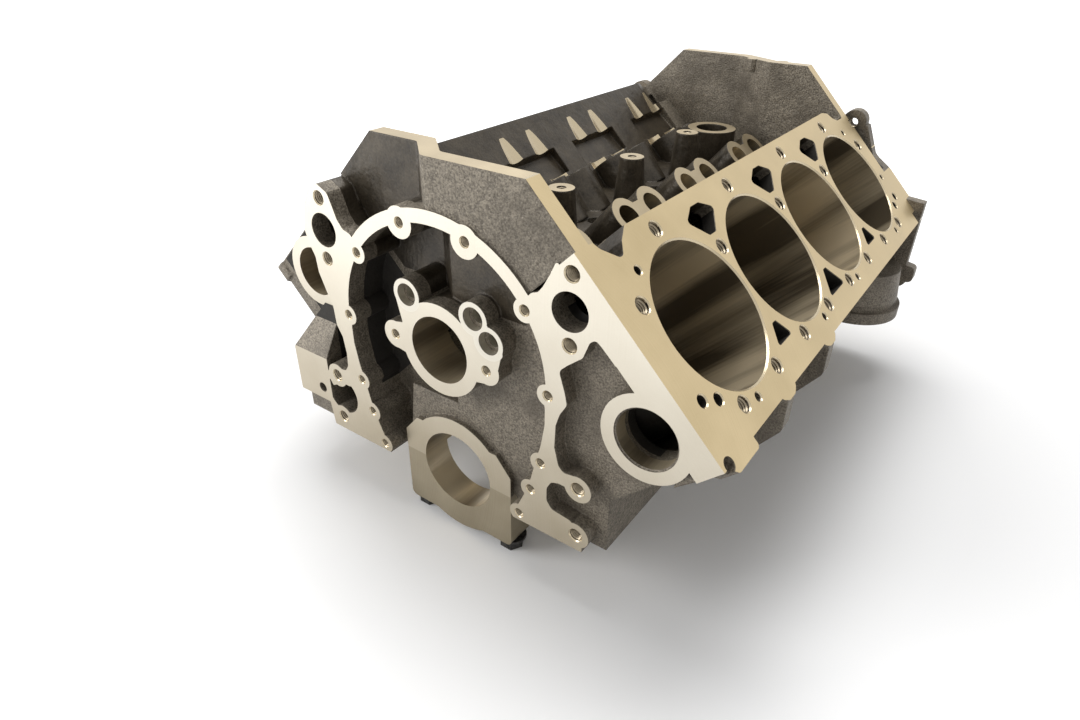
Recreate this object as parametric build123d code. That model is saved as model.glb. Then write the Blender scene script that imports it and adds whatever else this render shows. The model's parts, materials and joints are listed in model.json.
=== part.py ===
from build123d import *
import os
from math import radians, sin, cos, sqrt, tan

# Bare engine block of a 90 degree V8 with staggered banks: one iron casting, five main bearing caps and the
# bolts that hold them. Millimetres. +X is the side of the right bank, seen from the front, +Y runs to the
# rear and +Z is up. X and Z are counted from the crank axis. Distances along Y are counted from the timing
# face, the machined front of the casting. The finished pieces move along Y by MAIN_FACE, so that the origin
# is on the crank axis, in the front face of the front main bearing.

# Layout of the engine
DECK_HEIGHT = 229.235
BORE_D = 104.775
BORE_SPACING = 111.76
BORE_COUNT = 4
FIRST_BORE = 81.0
BANK_LENGTH = 492.0
STAGGER = 22.35
LENGTH = BANK_LENGTH + STAGGER
CAM_HEIGHT = 114.83
MAIN_D = 67.08
CAM_D = 51.3
S45 = sqrt(0.5)

# Shortest side of a rounded corner, and the reach of sketches that only cut others off
MIN_REACH = 0.2
WIDE = 300.0

# Bank section. T is the distance from the bore axis along the deck, positive towards the valley.
DECK_OUT = -72.2
DECK_IN = 75.4
DECK_THICK = 12.0
LIP_THICK = 6.0
BANK_WALL_OUT = -68.5
BARREL_R = 59.0
BARREL_END = 90.0
BORE_RUN_OUT = 3.0
BORE_CHAMFER = 1.2
JACKET_FLOOR = 122.0
JACKET_OUT = -62.0
JACKET_IN = 62.0
JACKET_END_WALL = 12.0

# Deck features, as distances along the engine and across the deck
HEAD_BOLT_R = 5.5
HEAD_BOLT_DEPTH = 38.0
HEAD_BOLT_HIGH = 63.5
HEAD_BOLT_MIDDLE = 29.6
HEAD_BOLT_LOW = -55.0
PORT_DEPTH_UNDER = 8.0
SMALL_HOLES = [(40.8, 48.0, 3.0), (456.6, 48.0, 3.0), (20.6, -34.8, 4.0), (477.4, -34.8, 4.0)]
SMALL_HOLES += [(34.6, -41.2, 4.0), (463.8, -41.2, 4.0), (477.4, -11.0, 3.0)]
SMALL_HOLES += [(70.3, -58.9, 3.0), (204.2, -58.9, 3.0), (293.5, -58.9, 3.0), (428.1, -58.9, 3.0)]
SMALL_DEPTH = 18.0
COUNTERSINK = 0.8
BUMP_Y = [103.4, 191.0]
BUMP_OUT = -77.0
BUMP_HALF = 14.0
BOSS_OUT = -79.4
GUSSET_THICK = 13.0
GUSSET_DROP = 24.0
SCOOP_DEPTH = 30.0

# Crankcase section
SKIRT_X = 137.0
RAIL_Z = -5.0
RAIL_WIDTH = 19.0
BAY_X = SKIRT_X - RAIL_WIDTH
BAY_ROOF = 100.4
BAY_SLOPE = 112.0
BAY_FILLET = 12.0
WEB_THICK = 15.0
FRONT_WEB_SETBACK = 17.0
FRONT_WEB_JOG = -20.0
PAN_BOLT_R = 2.9
PAN_BOLT_COUNT = 8
PAN_BOLT_START = 34.0
PAN_BOLT_PITCH = 62.0

# Main bearings and their caps
MAIN_FACE = 10.5
FRONT_MAIN_WIDTH = 25.5
MAIN_WIDTH = 24.0
REAR_MAIN_WIDTH = 48.0
SADDLE_R = 48.0
SADDLE_COLUMN = 62.0
COLUMN_TAPER = 8.0
LEDGE_HALF = 40.0
LEDGE_LOW = 18.0
LEDGE_HIGH = 34.0
FRONT_COLUMN_SETBACK = 5.0
CAP_HALF = 53.5
CAP_SEAT = 51.0
CAP_BULGE = 5.5
CAP_FILLET = 5.0
CAP_CLEARANCE = 2.0
BOLT_X = 44.45
OUTER_HALF = 82.0
OUTER_BOLT_EDGE = 12.0
OUTER_BOLT_X = OUTER_HALF - OUTER_BOLT_EDGE
OUTER_SEAT = 36.0
BOLT_R = 6.35
BOLT_GAP = 0.25
BOLT_HEAD_R = 10.2
BOLT_HEAD = 10.0
WASHER_R = 11.8
WASHER = 2.0
BOLT_DEPTH = 52.0
OUTER_BOLT_DEPTH = 38.0
BOLT_SPARE = 6.0

# Valley
VALLEY_FLOOR = 150.0
TUNNEL_R = 30.0
LIFTER_TILT = 39.5
LIFTER_TOP = 75.2
LIFTER_R = 10.7
LIFTER_BOSS_R = 17.6
LIFTER_CUTTER_R = 18.7
LIFTER_CUT_END = 134.0
LIFTER_HALF_PITCH = 19.5
LIFTER_SHIFT = 2.2
RECESS_LOW = 165.0
RECESS_HIGH = 192.0
RECESS_HALF = 38.5
RECESS_DEPTH = 8.0
POST_TOP = 193.8
POST_TOP_R = 10.7
POST_FOOT_R = 15.0
POST_HOLE_R = 4.0
POST_HOLE_DEPTH = 25.0
DISTRIBUTOR_Y = 432.0
DISTRIBUTOR_TOP = 187.0
DISTRIBUTOR_R = 25.0
DISTRIBUTOR_BORE_R = 16.0
DRAIN_R = 8.0

# End walls of the valley
WALL_TOP = 249.8
WALL_TOP_HALF = 74.4
WALL_THICK = 13.2
FRONT_WALL_FACE = 1.8
FRONT_JOG = (-30.0, -6.0)
REAR_WALL_FACE = 478.5
REAR_JOG = (-5.0, 35.0)
JOG_FILLET = 6.0
WALL_KNOB_X = [12.0, 44.0]
WALL_KNOB_R = 6.0

# Timing case
CASE_IN_R = 91.5
CASE_OUT_R = 101.3
CASE_FLOOR = 15.0
CASE_DEEP = 35.0
CASE_STEP = (-22.0, 2.0)
CASE_BACK_LOW = 100.0
CASE_FILLET = 6.0
POCKET_DEPTH = 12.0
LEFT_SET_BACK = 4.0
RAIL_STOCK = 42.0
CAM_RING_R = 36.0
CAM_EAR_X = 42.5
CAM_EAR_Z = 114.0
CAM_EAR_R = 11.0
GALLERY_HOLES = [(-27.6, 150.0), (32.4, 150.0), (45.3, 136.0)]
GALLERY_BOSS_R = 12.0
GALLERY_WEB = 24.0
GALLERY_SINK_R = 8.4
GALLERY_SINK = 6.0
GALLERY_R = 5.2
GALLERY_DEPTH = 40.0
OIL_HOLE = (10.0, 97.0)
OIL_HOLE_R = 2.4
STRIP_LOW = 208.0
CORE_PLUG_R = 20.65
CORE_RING_R = 31.0
RIGHT_CORE = (194.3, -36.9)
LEFT_CORE = (-154.9, 125.0)
SIDE_CORE_HEIGHT = 168.0
SIDE_CORE_RING_R = 26.0
SIDE_CORE_PROUD = 3.0
SIDE_CORE_REACH = 20.0
COVER_BOLTS = [(28.35, 202.2), (74.55, 169.3), (92.85, 114.0), (87.9, 57.0), (79.65, 29.7), (69.45, 1.6)]
COVER_BOLT_R = 3.3
COVER_BOSS_R = 8.3
TOP_BOSS_R = 11.3
FOOT_BOLTS = [(118.5, 49.5), (118.5, 8.0)]
FOOT_BOLT_R = 4.8
FOOT_BOSS_R = 10.5
FRONT_HOLE_DEPTH = 22.0
PUMP_BOLTS = [(108.0, 202.5), (108.0, 156.0)]
PUMP_BOLT_R = 4.8
PORT = (107.5, 178.4)
PORT_R = 13.0
PORT_DEPTH = 24.0
LEG = [(85.5, 124), (91, 104), (91, 90), (88, 72), (84, 57), (80, 40), (74, 22), (68, 8), (60, RAIL_Z - 10)]

# Fuel pump boss, at the front of the left side
FUEL_X = -171.0
FUEL_ROOT_X = -130.0
FUEL_LENGTH = 72.0
FUEL_LOW = 17.0
FUEL_HIGH = 59.0
FUEL_BACK_HIGH = 98.0
FUEL_FOOT_SETBACK = 8.0
FUEL_SLOPE_BACK = 22.0
FUEL_OPENING = (36.0, 30.0)
FUEL_OPENING_DEPTH = 34.0
FUEL_BOLT_PITCH = 54.0
FUEL_ROD_HOLE = (-141.0, 29.0)
FUEL_ROD_R = 4.5
FUEL_ROD_DEPTH = 10.0

# Engine mounts and starter pad. Each mount stands under one bore of its bank.
MOUNT_BORE = 1
MOUNT_X = 166.0
MOUNT_Z = 38.0
MOUNT_CIRCLE_R = 30.0
MOUNT_BOSS_R = 13.0
MOUNT_PROUD = 6.0
MOUNT_BOLT_R = 4.8
STARTER_X = (-172.0, -134.0)
STARTER_Y = (430.0, 498.0)
STARTER_TOP = 24.0
STARTER_BOLTS = [(-157.0, 446.0), (-157.0, 482.0)]
STARTER_BOLT_R = 4.8

# Bellhousing flange and oil filter mount
FLANGE_THICK = 12.35
BELL_BOLTS = [(126.0, 198.0), (199.0, 117.0), (205.0, 45.0)]
BELL_BOLT_R = 4.8
BELL_BOSS_R = 12.0
BELL_DEPTH = 26.0
BELL_DOWEL = (184.0, 88.0)
BELL_DOWEL_R = 7.9
FILTER = (173.0, 466.0)
FILTER_FACE = 15.0
FILTER_R = 48.0
FILTER_LIP = 12.0
FILTER_GROOVE = 6.0
FILTER_GROOVE_DEPTH = 5.0
FILTER_NECK_R = 40.0
FILTER_NECK_FLARE = 4.0
FILTER_TOP = 66.0
FILTER_SEAL = (32.0, 42.0)
FILTER_SEAL_DEPTH = 5.0
FILTER_BORE_R = 9.5
FILTER_BORE_END = 54.0


def ordered(points):
    """The points of an outline counter-clockwise, so that every outline faces the same way."""
    area = sum(a[0] * b[1] - b[0] * a[1] for a, b in zip(points, points[1:] + points[:1]))
    return points if area > 0 else points[::-1]


def sharp(*points):
    """Outline with straight edges and sharp corners."""
    return Polygon(*ordered(list(points)), align=None)


def rounded(points, r):
    """Outline with straight edges, its corners rounded to r, or to less where the edges are short."""
    corners = [Vector(*p) for p in ordered(list(points))]
    bends = []
    for i, corner in enumerate(corners):
        back = corners[i - 1] - corner
        ahead = corners[(i + 1) % len(corners)] - corner
        half = radians(back.get_angle(ahead)) / 2
        reach = min(r / tan(half), 0.45 * min(back.length, ahead.length))
        if reach < MIN_REACH:
            bends.append((corner, None, corner))
            continue
        inward = (back.normalized() + ahead.normalized()).normalized()
        bend = reach * tan(half)
        middle = corner + inward * (bend / sin(half) - bend)
        bends.append((corner + back.normalized() * reach, middle, corner + ahead.normalized() * reach))
    edges = []
    for i, (start, middle, end) in enumerate(bends):
        if middle is not None:
            edges.append(ThreePointArc(start, middle, end))
        edges.append(Line(end, bends[(i + 1) % len(bends)][0]))
    return make_face(edges)


def left(piece):
    """The same feature on the left bank, which stands further back by the stagger."""
    return Pos(0, STAGGER, 0) * mirror(piece, about=Plane.YZ)


def both(pieces):
    """Features of the right bank, and the same features on the left bank."""
    return [*pieces, *[left(p) for p in pieces]]


def mirrored(points):
    """Points of the right side, and the same points on the left side."""
    return [*points, *[(-x, z) for x, z in points]]


def prism(sketch, y0, y1):
    """Solid of a sketch in (x, z), from y0 to y1."""
    return extrude(Plane.XZ.offset(-y1) * sketch, y1 - y0, dir=(0, -1, 0))


def slab(sketch, z0, z1):
    """Solid of a sketch in (x, y), from z0 to z1."""
    return extrude(Plane.XY.offset(z0) * sketch, z1 - z0, dir=(0, 0, 1))


def bar_x(sketch, x0, x1):
    """Solid of a sketch in (y, z), from x0 to x1."""
    return extrude(Plane.YZ.offset(x0) * sketch, x1 - x0, dir=(1, 0, 0))


def disc(x, z, r):
    return Pos(x, z) * Circle(r)


def above(z):
    """Half plane over a height, for cutting sketches in (x, z)."""
    return Pos(0, z + WIDE / 2) * Rectangle(2 * WIDE, WIDE)


def below(z):
    """Half plane under a height, for cutting sketches in (x, z)."""
    return Pos(0, z - WIDE / 2) * Rectangle(2 * WIDE, WIDE)


def rod(x, z, r, y0, y1):
    """Round bar along Y."""
    return prism(disc(x, z, r), y0, y1)


def drilled(x, z, r, y0, y1):
    """Space of a hole along Y with a countersunk mouth at y0."""
    sink = Plane(origin=(x, y0 - 0.5, z), z_dir=(0, 1, 0)) * Cone(
        r + COUNTERSINK + 0.5, r, COUNTERSINK + 0.5, align=(Align.CENTER, Align.CENTER, Align.MIN)
    )
    return rod(x, z, r, y0 - 1, y1) + sink


def bank_xz(height, t):
    """Point of the right bank's section, at a height from the crank axis along the bore axis."""
    return (S45 * (height - t), S45 * (height + t))


def deck_at(height):
    """Plane across the right bank's bores, with x along the engine and y towards the valley."""
    return Plane(origin=(height * S45, 0, height * S45), x_dir=(0, 1, 0), z_dir=(S45, 0, S45))


def side_at(t):
    """Plane along the right bank's outer wall, with x along the engine and y towards the deck."""
    return Plane(origin=(-t * S45, 0, t * S45), x_dir=(0, 1, 0), z_dir=(S45, 0, -S45))


def sunk(sketch, depth, spare=1.0):
    """Space under a sketch in the right deck's (y, t)."""
    return extrude(deck_at(DECK_HEIGHT + spare) * sketch, depth + spare, dir=(-S45, 0, -S45))


def deck_hole(y, t, r, depth):
    """Space of a hole square to the deck, with a countersunk mouth."""
    sink = deck_at(DECK_HEIGHT + 0.5) * Pos(y, t) * Cone(
        r, r + COUNTERSINK + 0.5, COUNTERSINK + 0.5, align=(Align.CENTER, Align.CENTER, Align.MAX)
    )
    return sunk(Pos(y, t) * Circle(r), depth) + sink


def bore_y(i):
    return FIRST_BORE + i * BORE_SPACING


def gap_y(i):
    """Middle of the land between two bores."""
    return bore_y(i) + BORE_SPACING / 2


def mains():
    """Front and rear face of each main bearing along Y."""
    spans = [(MAIN_FACE, MAIN_FACE + FRONT_MAIN_WIDTH)]
    for i in range(BORE_COUNT - 1):
        y = gap_y(i) + STAGGER / 2
        spans.append((y - MAIN_WIDTH / 2, y + MAIN_WIDTH / 2))
    spans.append((LENGTH - REAR_MAIN_WIDTH, LENGTH))
    return spans


def is_wide(k):
    """Whether a main cap has outer bolts: all but the front and the rear one."""
    return 0 < k < len(mains()) - 1


def half_section():
    """Outer section of the right half, from the crank axis out, with the lip under the deck's edge."""
    turn = SKIRT_X + BANK_WALL_OUT / S45
    return sharp(
        (0, RAIL_Z),
        (SKIRT_X, RAIL_Z),
        (SKIRT_X, turn),
        bank_xz(DECK_HEIGHT - LIP_THICK + BANK_WALL_OUT - DECK_OUT, BANK_WALL_OUT),
        bank_xz(DECK_HEIGHT - LIP_THICK, DECK_OUT),
        bank_xz(DECK_HEIGHT, DECK_OUT),
        bank_xz(DECK_HEIGHT, DECK_IN),
        (VALLEY_FLOOR - DECK_IN / S45, VALLEY_FLOOR),
        (0, VALLEY_FLOOR),
    )


def shell_body():
    """Both halves of the casting as solid prisms, before they are hollowed."""
    section = half_section()
    right = prism(section, POCKET_DEPTH, BANK_LENGTH)
    ramp = [(60, VALLEY_FLOOR + 10), (126, 185), (205, 130), (205, RAIL_Z)]
    low = section & sharp((0, RAIL_Z), (0, VALLEY_FLOOR), *ramp)
    right += prism(low, BANK_LENGTH - 1, LENGTH)
    return right + left(prism(section, LEFT_SET_BACK, BANK_LENGTH))


def end_walls():
    """Front and rear walls of the valley, each with a rounded jog between the staggered banks."""
    shoulder = bank_xz(DECK_HEIGHT, DECK_IN - 2)
    foot = bank_xz(DECK_HEIGHT - 70, DECK_IN - 2)
    half = [(WALL_TOP_HALF, WALL_TOP), shoulder, foot, (40, VALLEY_FLOOR - 10)]
    high = sharp(*half, *[(-x, z) for x, z in reversed(half)])
    walls = []
    for face, (jog_out, jog_in) in ((FRONT_WALL_FACE, FRONT_JOG), (REAR_WALL_FACE, REAR_JOG)):
        back = face + WALL_THICK
        lag = WALL_THICK / 3
        plan = [(-WIDE, face + STAGGER), (jog_out, face + STAGGER), (jog_in, face), (WIDE, face)]
        plan += [(WIDE, back), (jog_in + lag, back), (jog_out + lag, back + STAGGER), (-WIDE, back + STAGGER)]
        walls.append(prism(high, face - 1, back + STAGGER + 1) & slab(rounded(plan, JOG_FILLET), 0, WIDE))
    for x in WALL_KNOB_X:
        foot_z = WALL_TOP - 2 * WALL_KNOB_R
        knob = Pos(x, REAR_WALL_FACE + WALL_THICK) * Circle(WALL_KNOB_R)
        walls.append(slab(knob, foot_z, WALL_TOP) & prism(high, REAR_WALL_FACE, LENGTH))
    return walls


def cylinders():
    """The right bank's bores, open at the deck and into the crankcase, with a chamfered mouth."""
    spaces = []
    for i in range(BORE_COUNT):
        centre = Pos(bore_y(i), 0)
        spaces.append(sunk(centre * Circle(BORE_D / 2), DECK_HEIGHT - BARREL_END + BORE_RUN_OUT))
        mouth = Cone(
            BORE_D / 2,
            BORE_D / 2 + BORE_CHAMFER + 0.5,
            BORE_CHAMFER + 0.5,
            align=(Align.CENTER, Align.CENTER, Align.MAX),
        )
        spaces.append(deck_at(DECK_HEIGHT + 0.5) * centre * mouth)
    return spaces


def barrels(end):
    """The right bank's cylinder walls as solid bars, from under the deck down to a height."""
    return [
        extrude(deck_at(end) * Pos(bore_y(i), 0) * Circle(BARREL_R), DECK_HEIGHT - end - 1)
        for i in range(BORE_COUNT)
    ]


def jacket():
    """The right bank's water space round the barrels."""
    low, high = JACKET_FLOOR, DECK_HEIGHT - DECK_THICK
    corners = [(low, JACKET_OUT), (high, JACKET_OUT), (high, JACKET_IN), (low, JACKET_IN)]
    outline = sharp(*[bank_xz(*c) for c in corners])
    space = prism(outline, POCKET_DEPTH + JACKET_END_WALL, BANK_LENGTH - JACKET_END_WALL)
    return space - barrels(JACKET_FLOOR - 5)


def deck_ports():
    """Coolant ports of the right deck: one above and one below each land between bores."""
    upper = rounded([(-21, 56), (-6, 64), (6, 64), (21, 56), (5, 40.5), (-5, 40.5)], 3.0)
    spaces = []
    for i in range(BORE_COUNT - 1):
        in_the_middle = i == (BORE_COUNT - 1) // 2
        half, base = (17.0, -53.0) if in_the_middle else (12.5, -48.0)
        lower = rounded([(-half, base), (half, base), (3, -33), (-3, -33)], 2.0)
        spaces.append(sunk(Pos(gap_y(i), 0) * upper, DECK_THICK + PORT_DEPTH_UNDER))
        spaces.append(sunk(Pos(gap_y(i), 0) * lower, DECK_THICK + PORT_DEPTH_UNDER))
    return spaces


def head_bolts():
    """Centres of the right deck's head bolts: five round each bore, shared between neighbours."""
    points = [(bore_y(i) - BORE_SPACING / 2, HEAD_BOLT_MIDDLE) for i in range(BORE_COUNT + 1)]
    for i in range(BORE_COUNT):
        points.append((bore_y(i), HEAD_BOLT_HIGH))
        points.append((bore_y(i) - BORE_SPACING / 4, HEAD_BOLT_LOW))
        points.append((bore_y(i) + BORE_SPACING / 4, HEAD_BOLT_LOW))
    return points


def deck_holes():
    """Head bolt holes and small drilled holes of the right deck."""
    spaces = [deck_hole(y, t, HEAD_BOLT_R, HEAD_BOLT_DEPTH) for y, t in head_bolts()]
    spaces += [deck_hole(y, t, r, SMALL_DEPTH) for y, t, r in SMALL_HOLES]
    return spaces


def deck_edge_spaces():
    """Scooped corners of the right deck beside the end walls, and the notch at its front outer corner."""
    front = [(14.5, 95), (17, 79), (21.7, 70), (33, 60), (37, 60), (44, 68), (55, 75.4), (75, 95)]
    rear = [(425, 95), (438, 75.4), (449, 72.5), (454, 65.7), (461.6, 61.4), (478.4, 61), (478.4, 95)]
    notch = Pos(8, DECK_OUT + 1) * Circle(5.0)
    scoops = [sunk(rounded(outline, 4.0), SCOOP_DEPTH) for outline in (front, rear)]
    return [*scoops, sunk(notch, LIP_THICK)]


def deck_bumps():
    """Cast bumps that widen the right deck along its outer edge."""
    outlines = [rounded([(2, -70), (12, BOSS_OUT), (42, BOSS_OUT), (42, -60), (2, -60)], 3.0)]
    for y in BUMP_Y:
        crest = [(y - 5, BUMP_OUT), (y + 5, BUMP_OUT)]
        bump = [(y - BUMP_HALF, DECK_OUT), *crest, (y + BUMP_HALF, DECK_OUT), (y, -55)]
        outlines.append(rounded(bump, 4.0))
    return [sunk(outline, DECK_THICK + 2, spare=0.0) for outline in outlines]


def gussets():
    """Ribs under the right deck's bumps, down the bank's outer wall to the crankcase."""
    tip = bank_xz(DECK_HEIGHT - 1, BUMP_OUT)
    root = [bank_xz(DECK_HEIGHT - 1, JACKET_OUT - 2), (SKIRT_X - 5, 42), (SKIRT_X - 5, 12)]
    outline = rounded([*root, (199, 60), (tip[0], tip[1] - GUSSET_DROP), tip], 8.0)
    return [prism(outline, y - GUSSET_THICK / 2, y + GUSSET_THICK / 2) for y in BUMP_Y]


def side_cores():
    """Machined rings and bores of the core plugs in the right bank's outer wall, between the bores."""
    rings = []
    spaces = []
    for i in range(BORE_COUNT - 1):
        place = side_at(BANK_WALL_OUT - SIDE_CORE_PROUD) * Pos(gap_y(i), SIDE_CORE_HEIGHT)
        rings.append(extrude(place * Circle(SIDE_CORE_RING_R), -2 * SIDE_CORE_PROUD))
        spaces.append(extrude(place * Circle(CORE_PLUG_R), -SIDE_CORE_REACH, both=True))
    return rings, spaces


def mount_bolts():
    """Centres of an engine mount's bolts in (y, z): two under the core plugs' level, and one below them."""
    y = bore_y(MOUNT_BORE)
    turns = [radians(a) for a in (30, 150, 270)]
    return [(y + MOUNT_CIRCLE_R * cos(a), MOUNT_Z + MOUNT_CIRCLE_R * sin(a)) for a in turns]


def engine_mounts():
    """Pad of the right engine mount with three bosses, and the holes in them."""
    root_x = SKIRT_X - RAIL_WIDTH / 2
    hole_end = MOUNT_X - FRONT_HOLE_DEPTH
    bosses = [bar_x(Pos(*p) * Circle(MOUNT_BOSS_R), root_x, MOUNT_X) for p in mount_bolts()]
    bosses.append(bar_x(offset(sharp(*mount_bolts()), MOUNT_BOSS_R - 2), root_x, MOUNT_X - MOUNT_PROUD))
    holes = [bar_x(Pos(*p) * Circle(MOUNT_BOLT_R), hole_end, MOUNT_X + 1) for p in mount_bolts()]
    return bosses, holes


def lifter_axis():
    """Plane across the right bank's lifter bores at the cam axis, with x along the engine."""
    tilt = radians(LIFTER_TILT)
    return Plane(origin=(0, 0, CAM_HEIGHT), x_dir=(0, 1, 0), z_dir=(sin(tilt), 0, cos(tilt)))


def lifter_centres():
    """Middle of each pair of lifters of the right bank."""
    shifts = [-LIFTER_SHIFT, LIFTER_SHIFT]
    return [bore_y(i) + shifts[i % 2] for i in range(BORE_COUNT)]


def lifter_bosses():
    """Twin bosses of the right bank's lifters, up from the cam tunnel."""
    bosses = []
    low = TUNNEL_R + 4
    for y in lifter_centres():
        eight = Pos(y, 0) * Rectangle(2 * LIFTER_HALF_PITCH, LIFTER_BOSS_R)
        for way in (-1, 1):
            eight += Pos(y + way * LIFTER_HALF_PITCH, 0) * Circle(LIFTER_BOSS_R)
        bosses.append(extrude(lifter_axis().offset(low) * eight, LIFTER_TOP - low))
    return bosses


def lifter_spaces():
    """The right bank's lifter bores, and the round cuts above them that nick the bank's wall."""
    spaces = []
    for y in lifter_centres():
        for way in (-1, 1):
            at = Pos(y + way * LIFTER_HALF_PITCH, 0)
            spaces.append(extrude(lifter_axis().offset(TUNNEL_R - 8) * at * Circle(LIFTER_R), LIFTER_TOP))
            over = lifter_axis().offset(LIFTER_TOP) * at * Circle(LIFTER_CUTTER_R)
            spaces.append(extrude(over, LIFTER_CUT_END - LIFTER_TOP))
    return spaces


def wall_recesses():
    """Cast recess in the right bank's valley wall, one over each pair of lifters."""
    corners = [
        (RECESS_LOW, DECK_IN - RECESS_DEPTH + 3),
        (RECESS_HIGH - 3, DECK_IN - RECESS_DEPTH),
        (RECESS_HIGH, DECK_IN + 1),
        (RECESS_LOW, DECK_IN + 1),
    ]
    outline = sharp(*[bank_xz(*c) for c in corners])
    return [prism(outline, y - RECESS_HALF, y + RECESS_HALF) for y in lifter_centres()]


def crank_bays():
    """Crankcase spaces between the bulkheads, open at the pan rails."""
    shoulder = (BAY_X, BAY_SLOPE / S45 - BAY_X)
    roof = (BAY_SLOPE / S45 - BAY_ROOF, BAY_ROOF)
    upper = rounded([roof, shoulder, (BAY_X, RAIL_Z - 50), (-BAY_X, RAIL_Z - 50), (-shoulder[0], shoulder[1]),
                     (-roof[0], roof[1])], BAY_FILLET)
    spans = mains()
    spaces = []
    for k in range(len(spans) - 1):
        start = sum(spans[k]) / 2 + WEB_THICK / 2
        end = sum(spans[k + 1]) / 2 - WEB_THICK / 2
        if k == len(spans) - 2:
            end = spans[k + 1][0]
        space = prism(upper, start, end)
        if k == 0:
            back = start + FRONT_WEB_SETBACK
            jog = [(-WIDE, back), (FRONT_WEB_JOG, back), (0, start), (WIDE, start)]
            space = space & slab(sharp(*jog, (WIDE, end), (-WIDE, end)), -WIDE, WIDE)
        spaces.append(space)
    return spaces


def saddles():
    """Bearing saddles of the bulkheads, above the crank axis, with their bolt columns."""
    pieces = []
    ledge = sharp((-CAP_HALF, 0), (CAP_HALF, 0), (CAP_HALF, LEDGE_LOW), (LEDGE_HALF, LEDGE_HIGH),
                  (-LEDGE_HALF, LEDGE_HIGH), (-CAP_HALF, LEDGE_LOW))
    arch = disc(0, 0, SADDLE_R) & above(0)
    for k, (y0, y1) in enumerate(mains()):
        half = OUTER_HALF if is_wide(k) else CAP_HALF
        top = half - COLUMN_TAPER
        columns = sharp((-half, 0), (half, 0), (top, SADDLE_COLUMN), (-top, SADDLE_COLUMN))
        pieces.append(prism(arch + ledge, y0, y1))
        pieces.append(prism(columns, y0 + (FRONT_COLUMN_SETBACK if k == 0 else 0), y1))
    return pieces


def cap_pockets():
    """Space of the caps' registers between the pan rails."""
    spaces = []
    for k, (y0, y1) in enumerate(mains()):
        half = (OUTER_HALF if is_wide(k) else CAP_HALF) + CAP_CLEARANCE
        slot = sharp((-half - 6, RAIL_Z - 5), (half + 6, RAIL_Z - 5), (half, 0), (-half, 0))
        spaces.append(prism(slot, y0 - WEB_THICK, y1 + WEB_THICK))
    return spaces


def right_rail():
    """Machined rail of the timing cover down the right side, with the water pump pad."""
    foot = [(124, RAIL_Z - 10), (124, 8), (114, 19), (98, 21), (93.5, 27), (93.5, 38), (97, 45), (103, 47)]
    foot += [(118.5, 47), (118.5, 60), (107, 58)]
    outer = [(102.6, 62), (99, 76), (99.6, 94), (102.6, 104), (107.7, 113), (105.6, 122), (101, 136)]
    outer += [(107, 142), (117.6, 151), (122, 163), (126, 166), (131, 162), (147, 147)]
    pad = [bank_xz(STRIP_LOW + 6, DECK_IN - 4), (98, 209), (93, 198), (88, 189), (84.5, 184.5), (80, 183)]
    return rounded([(70, 172), (77, 158), (80, 151), *LEG, *foot, *outer, *pad], 5.0)


def left_rail():
    """Machined rail of the timing cover down the left side, with the water pump pad on its tower."""
    inner = [(-x, z) for x, z in [(70, 172), (77, 158), (80, 151), *LEG]]
    foot = [(-130, RAIL_Z - 10), (-134, 17), (-137, 41), (-130, 50), (-120, 58), (-107, 58)]
    outer = [(-103, 64), (-102, 76), (-104, 91), (-109, 100), (-110, 115), (-115, 127), (-121, 142)]
    outer += [(-122, 154), (-128, 166), (-130, 175), (-126, 193), (-118, 209), (-108, 213), (-98, 208)]
    outer += [(-91, 190), (-86, 184), (-79, 182)]
    recess = disc(-115, 32, 17.5) - sharp((-140, 60), (-90, 60), (-104, 44), (-112, 44), (-126, 37))
    return rounded([*inner, *foot, *outer], 5.0) - recess


def fuel_pump_pad():
    """Machined front of the fuel pump boss."""
    return sharp((FUEL_X, FUEL_LOW), (-134, FUEL_LOW), (-134, 41), (-145, FUEL_HIGH), (FUEL_X, FUEL_HIGH))


def case_arch():
    """Ring over the timing case, round the cam axis."""
    ring = disc(0, CAM_HEIGHT, CASE_OUT_R) - disc(0, CAM_HEIGHT, CASE_IN_R)
    return ring & sharp((-75, 160), (75, 160), (110, 230), (-110, 230))


def deck_strip():
    """Machined edge of the right bank's front, along the deck."""
    corners = [(STRIP_LOW, DECK_OUT), (DECK_HEIGHT, DECK_OUT), (DECK_HEIGHT, DECK_IN), (STRIP_LOW, DECK_IN)]
    return sharp(*[bank_xz(*c) for c in corners])


def cover_bosses():
    """Centre and radius of each boss of the timing cover's bolts, the top two the largest."""
    radii = [TOP_BOSS_R] + [COVER_BOSS_R] * (len(COVER_BOLTS) - 1)
    bosses = [(x, z, r) for (x, z), r in zip(COVER_BOLTS, radii)]
    return bosses + [(-x, z, r) for x, z, r in bosses]


def timing_face():
    """All that is machined flush with the timing face, apart from the cam ring."""
    face = right_rail() + left_rail() + case_arch()
    for x, z, r in cover_bosses():
        face += disc(x, z, r)
    for x, z in mirrored(FOOT_BOLTS):
        face += disc(x, z, FOOT_BOSS_R)
    return face & above(RAIL_Z)


def case_space():
    """Space of the timing case, open in front and below, its floor stepped between the staggered halves."""
    upper = disc(0, CAM_HEIGHT, CASE_IN_R) & above(CAM_HEIGHT)
    outline = upper + rounded([*LEG, *[(-x, z) for x, z in reversed(LEG)]], CASE_FILLET)
    for x, z, r in cover_bosses():
        outline -= disc(x, z, r)
    left_end, right_end = CASE_STEP
    plan = sharp((-WIDE, -1), (WIDE, -1), (WIDE, CASE_FLOOR), (right_end, CASE_FLOOR), (left_end, CASE_DEEP),
                 (-WIDE, CASE_DEEP))
    return prism(outline, -1, CASE_DEEP + 1) & slab(plan, -WIDE, WIDE)


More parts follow.
